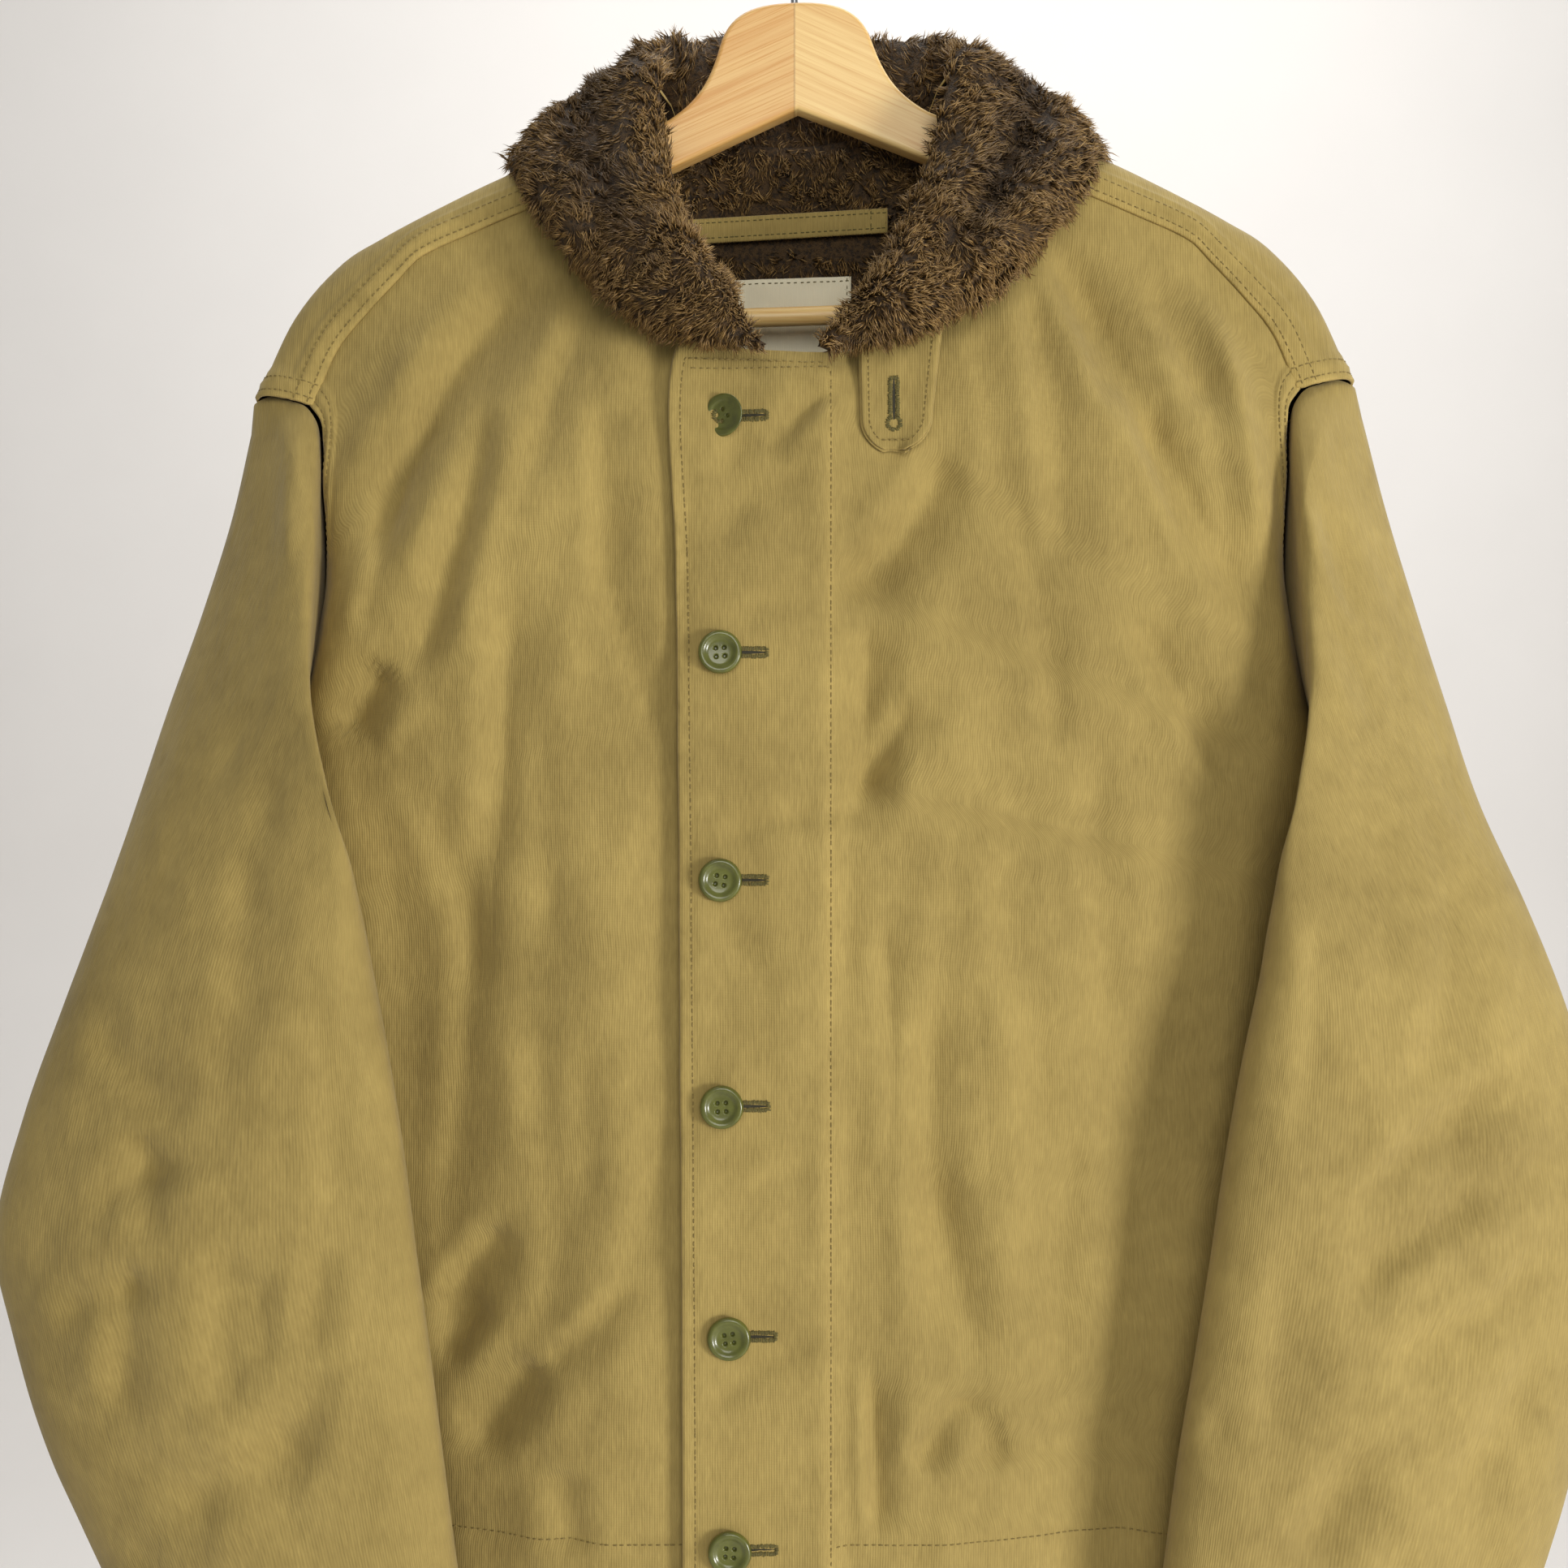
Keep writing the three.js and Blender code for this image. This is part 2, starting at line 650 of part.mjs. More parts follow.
// A buttonhole's cutter: a straight slit with a round eye at the button's end.
function slitCutter(x, y, z, alongZ) {
  const deep = 24;
  const shape = new THREE.Shape();
  const half = SLIT_WIDTH / 2;
  const start = Math.asin(half / SLIT_EYE_RADIUS);
  shape.moveTo(SLIT_LENGTH, half);
  shape.absarc(0, 0, SLIT_EYE_RADIUS, start, 2 * Math.PI - start, false);
  shape.lineTo(SLIT_LENGTH, -half);
  const geometry = new THREE.ExtrudeGeometry(shape, { depth: deep, bevelEnabled: false, curveSegments: 4 });
  geometry.translate(0, 0, -deep / 2);
  if (alongZ) {
    geometry.rotateZ(Math.PI / 2);
  }
  geometry.rotateX(Math.PI / 2);
  geometry.translate(x, y, z);
  return solid(geometry);
}

function fronts() {
  const plain = () => 0;
  const right = frontGrid(-1, FRONT_ROWS, 13, 23, plain);
  add('front_right', wallGeometry(right, CLOTH, forward, { set: frontSeams(-1, 13) }), COTTON);
  const flapRows = FRONT_ROWS.map((row, i) => ({ ...row, ...FLAP_INNER[i] }));
  const left = frontGrid(1, flapRows, 17, 24, flapLift);
  let cloth = solid(wallGeometry(left, CLOTH, forward, { set: frontSeams(1, 17) }));
  for (const button of BUTTONS) {
    cloth = cloth.subtract(slitCutter(button.x, -FRONT_DEPTH - FLAP_LIFT, button.z, false));
  }
  return add('front_left', unsolid(cloth), COTTON);
}

// A sleeve's rings: the armhole seam first, then lens-shaped rings that fan round the underarm.
function sleeve(side, name) {
  const around = 20;
  const half = around / 2;
  const loop = new THREE.CatmullRomCurve3(
    ARMHOLE.map((p) => new THREE.Vector3(p.out, p.y, p.z)),
    true,
    'centripetal',
  );
  const underarm = ARMHOLE_FRONT_STEPS / ARMHOLE.length;
  const hole = [];
  for (let i = 0; i < around; i += 1) {
    const t = i < half ? (underarm * i) / half : underarm + ((1 - underarm) * (i - half)) / half;
    hole.push(loop.getPoint(t));
  }
  const edge = side > 0 ? ['leftOut', 'leftIn'] : ['rightOut', 'rightIn'];
  const rings = [hole.map((p) => p.clone().add(new THREE.Vector3(...SLEEVE_SET_OFF)))];
  const fine = reader(SLEEVE_RINGS.map((row, i) => ({ ...row, step: i })), 'step');
  const count = 16;
  for (let k = 0; k <= count; k += 1) {
    const row = fine((k * (SLEEVE_RINGS.length - 1)) / count);
    const outer = new THREE.Vector3(row[edge[0]], row.outY, row.outZ);
    const inner = new THREE.Vector3(row[edge[1]], row.inY, row.inZ);
    const middle = outer.clone().add(inner).multiplyScalar(0.5);
    const reach = outer.clone().sub(inner).multiplyScalar(0.5);
    rings.push(
      hole.map((start, i) => {
        const angle = (2 * Math.PI * i) / around;
        const bulge = i <= half ? [-row.swing, -row.front, 0] : [0, row.back, 0];
        const swell = Math.abs(Math.sin(angle)) ** 0.85;
        const ring = middle.clone().addScaledVector(reach, Math.cos(angle));
        ring.addScaledVector(new THREE.Vector3(...bulge), swell);
        const fold = foldDepth(SLEEVE_FOLDS, side * ring.x + MIDDLE_X, ring.z) * (i < half ? swell : 0);
        return ring.add(new THREE.Vector3(0, fold, 0)).lerp(start, row.seam);
      }),
    );
  }
  const grid = rings.map((ring) =>
    ring.map((p) => new THREE.Vector3(MIDDLE_X + side * p.x, p.y, p.z + raise(side, p.z))),
  );
  const centres = grid.map((ring) => {
    const middle = new THREE.Vector3();
    ring.forEach((p) => middle.addScaledVector(p, 1 / around));
    return middle;
  });
  const hint = (point, j) => point.clone().sub(centres[j]).normalize();
  add(name, wallGeometry(grid, CLOTH, hint, { round: true }), COTTON);
}

// The pile collar: each section goes from its inner edge over a crest to its outer edge.
const COLLAR = table('inX inY inZ topX topY topZ outX outY outZ', [
  [-12, -62, -241, -16, -67, -244, -20, -62, -248],
  [-20, -60, -228, -36, -79, -232, -50, -59, -245],
  [-28, -54, -212, -55, -79, -213, -78, -55, -235],
  [-40, -45, -195, -73, -74, -192, -102, -48, -212],
  [-49, -36, -174, -88, -64, -165, -124, -39, -184],
  [-55, -25, -150, -99, -48, -137, -138, -27, -162],
  [-62, -13, -106, -103, -24, -101, -147, -12, -147],
  [-63, 4, -95, -99, 6, -76, -146, 16, -136],
  [-59, 13, -103, -82, 26, -60, -124, 46, -136],
  [-36, 16, -124, -46, 38, -55, -76, 64, -140],
  [5, 17, -136, 5, 43, -58, 5, 70, -146],
  [44, 16, -118, 56, 38, -52, 86, 64, -136],
  [68, 13, -96, 92, 26, -56, 134, 46, -128],
  [75, 4, -88, 109, 6, -71, 156, 16, -128],
  [72, -13, -96, 113, -24, -94, 157, -12, -139],
  [60, -25, -144, 108, -48, -131, 148, -27, -155],
  [50, -36, -170, 96, -64, -161, 132, -39, -180],
  [41, -45, -192, 80, -74, -189, 110, -48, -208],
  [30, -54, -212, 60, -79, -211, 84, -55, -228],
  [18, -60, -228, 40, -79, -232, 58, -59, -240],
  [7, -63, -242, 14, -70, -244, 22, -63, -248],
]);

function collar() {
  const sections = 28;
  const over = 8;
  const under = 5;
  const fine = reader(COLLAR.map((row, i) => ({ ...row, step: i })), 'step');
  const rings = [];
  for (let k = 0; k <= sections; k += 1) {
    const row = fine((k * (COLLAR.length - 1)) / sections);
    const inner = new THREE.Vector3(row.inX, row.inY, row.inZ);
    const outer = new THREE.Vector3(row.outX, row.outY, row.outZ);
    const middle = inner.clone().add(outer).multiplyScalar(0.5);
    const half = inner.clone().sub(outer).multiplyScalar(0.5);
    const crest = new THREE.Vector3(row.topX, row.topY, row.topZ).sub(middle);
    const ring = [];
    for (let i = 0; i <= over; i += 1) {
      const a = (Math.PI * i) / over;
      ring.push(middle.clone().addScaledVector(half, Math.cos(a)).addScaledVector(crest, Math.sin(a)));
    }
    for (let i = under; i >= 0; i -= 1) {
      const a = (Math.PI * i) / under;
      const point = middle.clone().addScaledVector(half, Math.cos(a) * 0.84);
      ring.push(point.addScaledVector(crest, Math.sin(a) * 0.2 + 0.02));
    }
    rings.push(ring);
  }
  add('collar', loftGeometry(rings), PILE_CLOTH);
}

// The throat tab hangs from under the collar and lies on the left front.
function throatTab(panel) {
  const top = -226;
  const bottom = -288;
  const tipRound = 14;
  const grid = [];
  const rows = 10;
  for (let j = 0; j <= rows; j += 1) {
    const z = top + ((bottom - top) * j) / rows;
    const nearTip = Math.max(tipRound - (z - bottom), 0);
    const squeeze = Math.sqrt(Math.max(1 - (nearTip / (tipRound + 1)) ** 2, 0.02));
    const middle = 49 - (3 * j) / rows;
    const half = (18.5 - (4 * j) / rows) * squeeze;
    const line = [];
    for (let i = 0; i <= 6; i += 1) {
      const x = middle + half * ((2 * i) / 6 - 1);
      const lie = Math.min(faceOf(panel, x, z) ?? -SHOULDER_DEPTH, faceOf(panel, x, TAB_LEVEL));
      const stand = TAB_STAND * smooth((x - middle) / half);
      line.push(new THREE.Vector3(x, lie - TAB_CLEAR - CLOTH - stand, z));
    }
    grid.push(line);
  }
  const cloth = solid(wallGeometry(grid, CLOTH, forward));
  add('throat_tab', unsolid(cloth.subtract(slitCutter(45.5, -54, -276, true))), COTTON);
}

// A four-hole button with a raised rim and a dished middle, its back against the flap.
function buttons(panel) {
  const profile = [
    [0, 0],
    [BUTTON_FOOT_RADIUS, 0],
    [9.4, 0.9],
    [BUTTON_RADIUS, 2.3],
    [9.5, 3.6],
    [8.4, BUTTON_THICK],
    [7.2, 3.3],
    [6, 2.6],
    [0, 2.4],
  ].map(([r, h]) => new THREE.Vector2(r, h));
  const disc = solid(new THREE.LatheGeometry(profile, 16));
  const bore = new THREE.CylinderGeometry(BUTTON_HOLE_RADIUS, BUTTON_HOLE_RADIUS, 12, 6);
  let drilled = disc;
  for (const [i, j] of [[1, 1], [1, -1], [-1, 1], [-1, -1]]) {
    const pin = bore.clone().translate(i * BUTTON_HOLE_OUT, 0, j * BUTTON_HOLE_OUT);
    drilled = drilled.subtract(solid(pin));
  }
  BUTTONS.forEach((place, i) => {
    const mesh = add(`button_${i + 1}`, unsolid(drilled), BUTTON_RESIN);
    mesh.rotation.set(Math.PI, 0, 0);
    const rest = foremost(panel, place.x, place.z, BUTTON_FOOT_RADIUS);
    mesh.position.set(place.x, rest - SEAM_GAP, place.z);
  });
}

// Where the back cloth's outer face lies near the neck.
function backFace(x, z) {
  const out = Math.abs(x - MIDDLE_X);
  const row = BACK_ROWS[1];
  const full = roundSide(out, row.outerOut, row.roll);
  return backDepth(z, NECK_BACK_DEPTH) * full - foldDepth(BACK_FOLDS, x, z);
}

// A patch that follows the back from inside, a given distance in from its outer face.
function backPatch(left, right, topLeft, topRight, height, inward, thick, columns, rows) {
  const grid = [];
  for (let j = 0; j <= rows; j += 1) {
    const line = [];
    for (let i = 0; i <= columns; i += 1) {
      const x = left + ((right - left) * i) / columns;
      const z = topLeft + ((topRight - topLeft) * i) / columns - (height * j) / rows;
      line.push(new THREE.Vector3(x, backFace(x, z) - inward - thick, z));
    }
    grid.push(line);
  }
  return wallGeometry(grid, thick, forward);
}

function neckInside() {
  const skin = CLOTH + 1;
  add('neck_lining', backPatch(-70, 80, -162, -162, 118, skin, PILE, 10, 8), PILE_CLOTH);
  const face = skin + PILE + 0.3;
  add('neck_label', backPatch(-30, 28, -192, -190, 40, face, 1, 6, 4), LABEL_CLOTH);
  add('hanger_loop', backPatch(-56, 46, -162.5, -156.5, 11.5, face, 1.4, 12, 2), COTTON);
}

// The hanger's face: a rounded neck that flares into two arms, drawn for one half and mirrored.
function hangerShape() {
  const shape = new THREE.Shape();
  shape.moveTo(0, 0);
  shape.bezierCurveTo(20, 0, 32, -4, 37, -20);
  shape.bezierCurveTo(42, -36, 48, -46, 63, -55);
  shape.lineTo(203, -117.5);
  shape.quadraticCurveTo(214, -123, 217, -140);
  shape.lineTo(219, -158);
  shape.quadraticCurveTo(217, -166, 206, -164);
  shape.bezierCurveTo(180, -160, 176, -134, 140, -112);
  shape.lineTo(0, -52);
  shape.lineTo(-140, -112);
  shape.bezierCurveTo(-176, -134, -180, -160, -206, -164);
  shape.quadraticCurveTo(-217, -166, -219, -158);
  shape.lineTo(-217, -140);
  shape.quadraticCurveTo(-214, -123, -203, -117.5);
  shape.lineTo(-63, -55);
  shape.bezierCurveTo(-48, -46, -42, -36, -37, -20);
  shape.bezierCurveTo(-32, -4, -20, 0, 0, 0);
  return shape;
}

function hanger() {
  const bevel = 1.2;
  const blank = new THREE.ExtrudeGeometry(hangerShape(), {
    depth: HANGER_THICK - 2 * bevel,
    bevelThickness: bevel,
    bevelSize: bevel,
    bevelOffset: -bevel,
    bevelSegments: 1,
    curveSegments: 6,
  });
  blank.translate(0, 0, -(HANGER_THICK - 2 * bevel) / 2);
  blank.rotateX(Math.PI / 2);
  const group = new THREE.Group();
  group.position.set(0, 0, HANGER_TOP_Z);
  group.rotation.y = THREE.MathUtils.degToRad(-HANGER_TILT);
  jacket.add(group);
  const bore = BAR_RADIUS + SEAM_GAP;
  const socket = new THREE.CylinderGeometry(bore, bore, 2 * (BAR_HALF + SEAM_GAP), 14);
  socket.rotateZ(Math.PI / 2);
  socket.translate(0, 0, BAR_Z - HANGER_TOP_Z);
  const drill = WIRE_RADIUS + WIRE_CLEAR;
  const shank = new THREE.CylinderGeometry(drill, drill, 24, 10);
  shank.rotateX(Math.PI / 2);
  const wood = solid(blank).subtract(solid(socket)).subtract(solid(shank));
  add('hanger', unsolid(wood), BEECH, group);
  const bar = new THREE.CylinderGeometry(BAR_RADIUS, BAR_RADIUS, 2 * BAR_HALF, 14);
  const rod = add('trouser_bar', bar, BEECH, group);
  rod.rotation.z = Math.PI / 2;
  rod.position.z = BAR_Z - HANGER_TOP_Z;
}

// The wire hook: a shank set in the hanger, an S bend and a round crook over the rail.
function hook() {
  const centre = HOOK_RADIUS + WIRE_RADIUS;
  const path = [
    new THREE.Vector3(0, 0, HANGER_TOP_Z - 11),
    new THREE.Vector3(0, 0, HANGER_TOP_Z),
    new THREE.Vector3(0.5, 0, HANGER_TOP_Z + 12),
    new THREE.Vector3(6, 0, HANGER_TOP_Z + 20),
  ];
  for (let degrees = -45; degrees <= 205; degrees += 25) {
    const a = THREE.MathUtils.degToRad(degrees);
    path.push(new THREE.Vector3(centre * Math.cos(a), 0, centre * Math.sin(a) - HOOK_RADIUS));
  }
  const section = new THREE.Shape();
  section.absarc(0, 0, WIRE_RADIUS, 0, 2 * Math.PI, false);
  const wire = new THREE.ExtrudeGeometry(section, {
    steps: 44,
    curveSegments: 4,
    extrudePath: new THREE.CatmullRomCurve3(path, false, 'centripetal'),
  });
  add('hook', unsolid(solid(wire)), STEEL);
}

const backCloth = backGrid();
add('back', wallGeometry(backCloth, CLOTH, backward, { set: backSeams(backCloth[0].length - 1) }), COTTON);
const leftFront = fronts();
sleeve(-1, 'sleeve_right');
sleeve(1, 'sleeve_left');
collar();
throatTab(leftFront);
buttons(leftFront);
neckInside();
hanger();
hook();

export default jacket;
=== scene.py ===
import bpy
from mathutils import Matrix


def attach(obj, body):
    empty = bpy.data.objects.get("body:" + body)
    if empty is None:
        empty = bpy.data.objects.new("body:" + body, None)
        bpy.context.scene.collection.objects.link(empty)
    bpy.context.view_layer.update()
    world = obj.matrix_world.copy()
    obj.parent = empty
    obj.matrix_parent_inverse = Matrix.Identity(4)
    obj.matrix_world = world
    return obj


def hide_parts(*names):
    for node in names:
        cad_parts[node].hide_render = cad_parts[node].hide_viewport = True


bl_info = {
    "name": "Pile collar jacket on a hanger",
    "version": (1, 0, 0),
    "blender": (4, 5, 0),
    "location": "View3D > Sidebar > Jacket",
    "description": "Sews a cotton deck jacket with a pile collar on its wooden hanger",
    "category": "Object",
}

from functools import lru_cache

import bpy
import numpy as np
from bpy.props import FloatProperty, FloatVectorProperty, IntProperty, PointerProperty

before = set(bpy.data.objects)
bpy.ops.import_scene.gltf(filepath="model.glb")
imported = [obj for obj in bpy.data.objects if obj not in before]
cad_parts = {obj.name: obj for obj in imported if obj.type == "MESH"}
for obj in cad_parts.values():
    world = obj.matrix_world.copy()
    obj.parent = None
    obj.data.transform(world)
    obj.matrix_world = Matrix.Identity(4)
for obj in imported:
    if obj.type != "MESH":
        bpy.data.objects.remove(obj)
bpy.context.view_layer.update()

# Lengths are millimetres unless a name says otherwise. The front faces -Y and +X is the viewer's right.
MM = 0.001
MIDDLE_X = 5.0
LEFT_RAISE = 8.0
RAISE_TOP = -255.0
RAISE_END = -420.0
CLOTH = 2.2
HEM_Z = -868.0
SHOULDER_DEPTH = 18.0
FRONT_DEPTH = 50.0
FRONT_FALL = 150.0
BACK_DEPTH = 38.0
BACK_FALL = 170.0
BACK_FALL_Z = -160.0
NECK_BACK_DEPTH = 26.0
ARM_BACK_DEPTH = 20.0
NECK_RIDGE_Z = -102.0
FLAP_LIFT = 6.0
FLAP_FLUSH_X = 26.0
FLAP_RAISED_X = 10.0
FLAP_SEAM_X = 16.5
FLAP_TURN_Z = -240.0
UNDERARM_Z = -455.0
HEM_SEAM_Z = -793.0
HANGER_TILT = np.radians(1.9)
HANGER_TOP_Z = -62.0
HANGER_THICK = 12.0


def table(names, rows):
    """A table with named columns, one row for each section, fold or piece."""
    return dict(zip(names.split(), np.array(rows, float).T))


# The shoulder seam in front of the ridge, and the ridge and back level beside it.
SHOULDER = table("out seam_z ridge_out ridge_z back_out back_z", [
    (82, -145, 83, -116, 83, -149),
    (103, -153, 103, -126, 103, -157),
    (131, -164, 131, -140, 131, -168),
    (157, -175, 159, -153, 157, -180),
    (185, -188, 190, -169, 185, -195),
    (195, -198, 205, -177, 197, -207),
    (211, -215, 226, -190, 211, -222),
    (226, -234, 249, -217, 226, -242),
    (237, -260, 267, -255, 238, -270),
])

# The back neckline: how far its columns start up the shoulder's arc.
BACK_NECK = table("out z arc_start", [
    (0, -170, 0.8),
    (20, -169, 0.8),
    (40, -164, 0.76),
    (60, -150, 0.56),
    (76, -128, -0.35),
])

# Rows of the right front: inner end on the neckline and edge, outer end on the armhole and side.
FRONT_ROWS = table("inner_out inner_z outer_out outer_y outer_z roll", [
    (82, -145, 237, -18, -260, 6),
    (77, -164, 231, -20, -268, 6),
    (66, -186, 229, -20, -280, 6),
    (54, -210, 229, -18, -296, 5),
    (36, -235, 228, -13, -320, 4.4),
    (3, -250, 229, -9, -352, 3.8),
    (3, -300, 242, -6, -404, 3),
    (3, -375, 264, -1, -455, 2.5),
    (3, -470, 263, -0.8, -520, 2.3),
    (3, -600, 262, -0.4, -620, 2.3),
    (3, -735, 262, -0.4, -745, 2.3),
    (3, HEM_Z, 262, -0.4, HEM_Z, 2.3),
])

# The left front's inner ends run along the top of its button flap and down the flap's edge.
FLAP_INNER = table("inner_out inner_z", [
    (82, -145),
    (77, -165),
    (65, -195),
    (46, -228),
    (20, -249),
    (-22, -249),
    (-59, -247),
    (-59, -345),
    (-58, -460),
    (-57, -600),
    (-56, -735),
    (-56, HEM_Z),
])

# Rows of the back below the shoulder blades: middle height, then the armhole and side.
BACK_ROWS = table("inner_out inner_z outer_out outer_y outer_z roll", [
    (0, -157, 238, 20, -270, 6),
    (0, -190, 233, 22, -288, 6),
    (0, -230, 230, 21, -315, 5),
    (0, -275, 231, 17, -352, 4),
    (0, -325, 243, 10, -404, 3.2),
    (0, -400, 264, 1.2, -455, 2.6),
    (0, -485, 263, 1, -520, 2.4),
    (0, -605, 262, 0.3, -620, 2.4),
    (0, -740, 262, 0.3, -745, 2.4),
    (0, HEM_Z, 262, 0.3, HEM_Z, 2.4),
])

# The armhole seam once round: top, down the front to the underarm, and up the back.
ARMHOLE = table("out y z", [
    (267, 0, -256),
    (257, -8, -253),
    (246, -14, -256),
    (237, -18, -260),
    (231, -20, -268),
    (229, -20, -280),
    (229, -18, -296),
    (228, -13, -320),
    (229, -9, -352),
    (242, -5, -404),
    (264, 0, -455),
    (243, 10, -404),
    (231, 17, -352),
    (230, 21, -315),
    (233, 22, -288),
    (238, 20, -270),
    (250, 16, -262),
    (261, 9, -258),
])
UNDERARM_SHARE = 10 / 18
SLEEVE_SET_OFF = np.array([2.2, 0.0, -1.5])

# Rings of a sleeve: outer edge, inner edge, swell in front and behind, swing and armhole share.
SLEEVE_RINGS = table("right_out left_out out_z out_y right_in left_in in_z in_y front back swing seam", [
    (272, 275, -280, -1, 272, 273, -463, -12, 46, 24, 44, 0.35),
    (280, 284, -318, -3, 258, 262, -462, -34, 44, 16, 42, 0.1),
    (293, 297, -360, -5, 232, 238, -466, -49, 42, 12, 36, 0),
    (308, 311, -405, -8, 214, 222, -478, -55, 38, 10, 26, 0),
    (322, 325, -450, -11, 204, 213, -500, -57, 35, 11, 14, 0),
    (338, 346, -500, -14, 197, 207, -532, -58, 33, 12, 5, 0),
    (355, 364, -550, -17, 190, 199, -570, -58, 31, 12, 0, 0),
    (372, 376, -600, -20, 183, 191, -612, -60, 30, 12, 0, 0),
    (384, 381, -655, -24, 177, 184, -658, -61, 30, 13, 0, 0),
    (374, 374, -700, -28, 171, 177, -702, -61, 30, 13, 0, 0),
    (357, 363, -750, -32, 165, 169, -752, -60, 29, 14, 0, 0),
    (333, 348, -800, -35, 159, 163, -802, -58, 28, 14, 0, 0),
    (300, 322, HEM_Z, -38, 150, 154, HEM_Z, -56, 25, 14, 0, 0),
])

FOLD_COLUMNS = "x1 z1 x2 z2 bow width lean depth"

# Creases of the fronts. bow is how far the middle strays, width the half width, lean how much
# wider the fold is on one flank, and depth how far the cloth lies back, or forward if negative.
FRONT_FOLDS = table(FOLD_COLUMNS, [
    (-126, -192, -208, -328, -3, 13, 0.25, 6.5),
    (-167, -262, -203, -336, 0, 8, 0.3, 4),
    (-144, -262, -180, -393, 5, 11, -0.3, 5),
    (-133, -350, -146, -486, 3, 11, 0.25, 4.5),
    (-91, -262, -89, -354, 0, 8, 0.45, 2.6),
    (-89, -350, -63, -420, 0, 7, 0.45, 2.6),
    (-193, -386, -212, -418, 0, 11, 0, 8),
    (-136, -648, -171, -699, 0, 10, 0.3, 5.5),
    (-146, -684, -168, -716, 0, 7, 0, 4),
    (-118, -712, -151, -757, 0, 11, -0.2, 5.5),
    (-74, -673, -116, -714, 0, 7, 0.3, 3),
    (-109, -759, -103, -800, 0, 9, 0, 3.5),
    (-194, -450, -180, -876, 6, 44, 0.1, 12),
    (-128, -540, -112, -690, 5, 12, 0.3, 2.2),
    (-152, -470, -166, -640, 4, 9, 0.3, 2.6),
    (-100, -560, -94, -640, 0, 7, 0.3, 1.5),
    (-60, -590, -84, -680, 4, 8, 0.2, 1.8),
    (-92, -198, -120, -300, -4, 8, 0.3, 2.4),
    (-48, -300, -60, -400, 3, 7, 0.3, 1.4),
    (-116, -400, -112, -520, -3, 8, 0.3, 1.8),
    (-186, -300, -204, -376, 0, 7, 0.3, 3),
    (-58, -452, -74, -560, 3, 12, 0.2, 1.6),
    (-176, -440, -150, -540, 4, 9, 0.2, 2.4),
    (124, -174, 220, -371, -5, 12, 0.25, 6.5),
    (171, -197, 194, -268, 0, 8, 0.2, 4),
    (197, -205, 217, -332, 3, 9, 0.2, -5),
    (120, -178, 147, -268, 2, 8, 0.3, 3.6),
    (109, -198, 125, -344, 3, 9, 0.2, 3.4),
    (55, -404, 29, -448, 0, 8, 0.3, 3.4),
    (34, -367, 31, -453, 0, 8, 0.2, 3.4),
    (70, -287, 19, -354, 8, 12, 0.3, 6),
    (66, -532, 68, -702, -4, 12, 0.3, 4.6),
    (79, -724, 56, -758, 0, 7, 0, 3.6),
    (79, -724, 96, -760, 0, 7, 0, 3.6),
    (35, -711, 38, -790, 0, 6, 0.4, 3.4),
    (156, -363, 207, -442, 0, 9, 0.3, 4),
    (192, -505, 150, -858, -10, 36, -0.35, 9),
    (-36, -468, 36, -456, 4, 5, 0.3, 1.6),
    (-12, -291, 16, -261, 2, 6, 0.3, 2.4),
    (-35, -297, -19, -282, 0, 5, 0, 1.1),
    (-38, -330, 8, -300, 3, 7, 0.3, 1.3),
    (-26, -640, 12, -612, 3, 6, 0, 0.9),
    (90, -470, 104, -560, 3, 8, 0.3, 1.6),
    (98, -300, 122, -430, 4, 8, 0.3, 2),
    (142, -420, 150, -560, -4, 8, 0.3, 2),
    (112, -540, 108, -690, 4, 9, 0.3, 2.4),
    (40, -500, 44, -620, 3, 7, 0.3, 1.6),
    (132, -600, 124, -740, -4, 9, 0.2, 2.6),
    (60, -620, 84, -720, 3, 8, 0.3, 2),
    (160, -268, 186, -340, 0, 7, 0.3, 2.6),
    (84, -226, 92, -320, 3, 7, 0.3, 1.8),
    (-44, -500, -10, -540, 3, 6, 0.3, 1.2),
    (-40, -730, 8, -700, 3, 6, 0.3, 1.3),
    (-30, -372, 10, -352, 2, 6, 0.3, 1.1),
])

# Similar folds hang in the back, from the shoulder blades and the hollow of the waist.
BACK_FOLDS = table(FOLD_COLUMNS, [
    (-150, -220, -205, -400, -6, 16, 0.2, 5),
    (-110, -270, -125, -480, 6, 16, -0.2, 4),
    (-40, -350, -52, -600, -5, 18, 0.2, 4),
    (48, -340, 60, -600, 6, 18, 0, 4),
    (110, -240, 138, -450, -5, 16, 0.3, 5),
    (162, -220, 214, -400, 6, 16, 0.2, 5),
    (-150, -560, -140, -850, 8, 24, 0.2, 6),
    (150, -540, 146, -850, -8, 24, -0.2, 6),
    (10, -620, -6, -850, 4, 20, 0, 4),
    (-84, -520, -60, -640, 4, 9, 0.3, 2.4),
    (86, -650, 110, -720, 0, 9, 0.3, 2.8),
    (-30, -340, -22, -430, 0, 9, 0.2, 2.2),
])

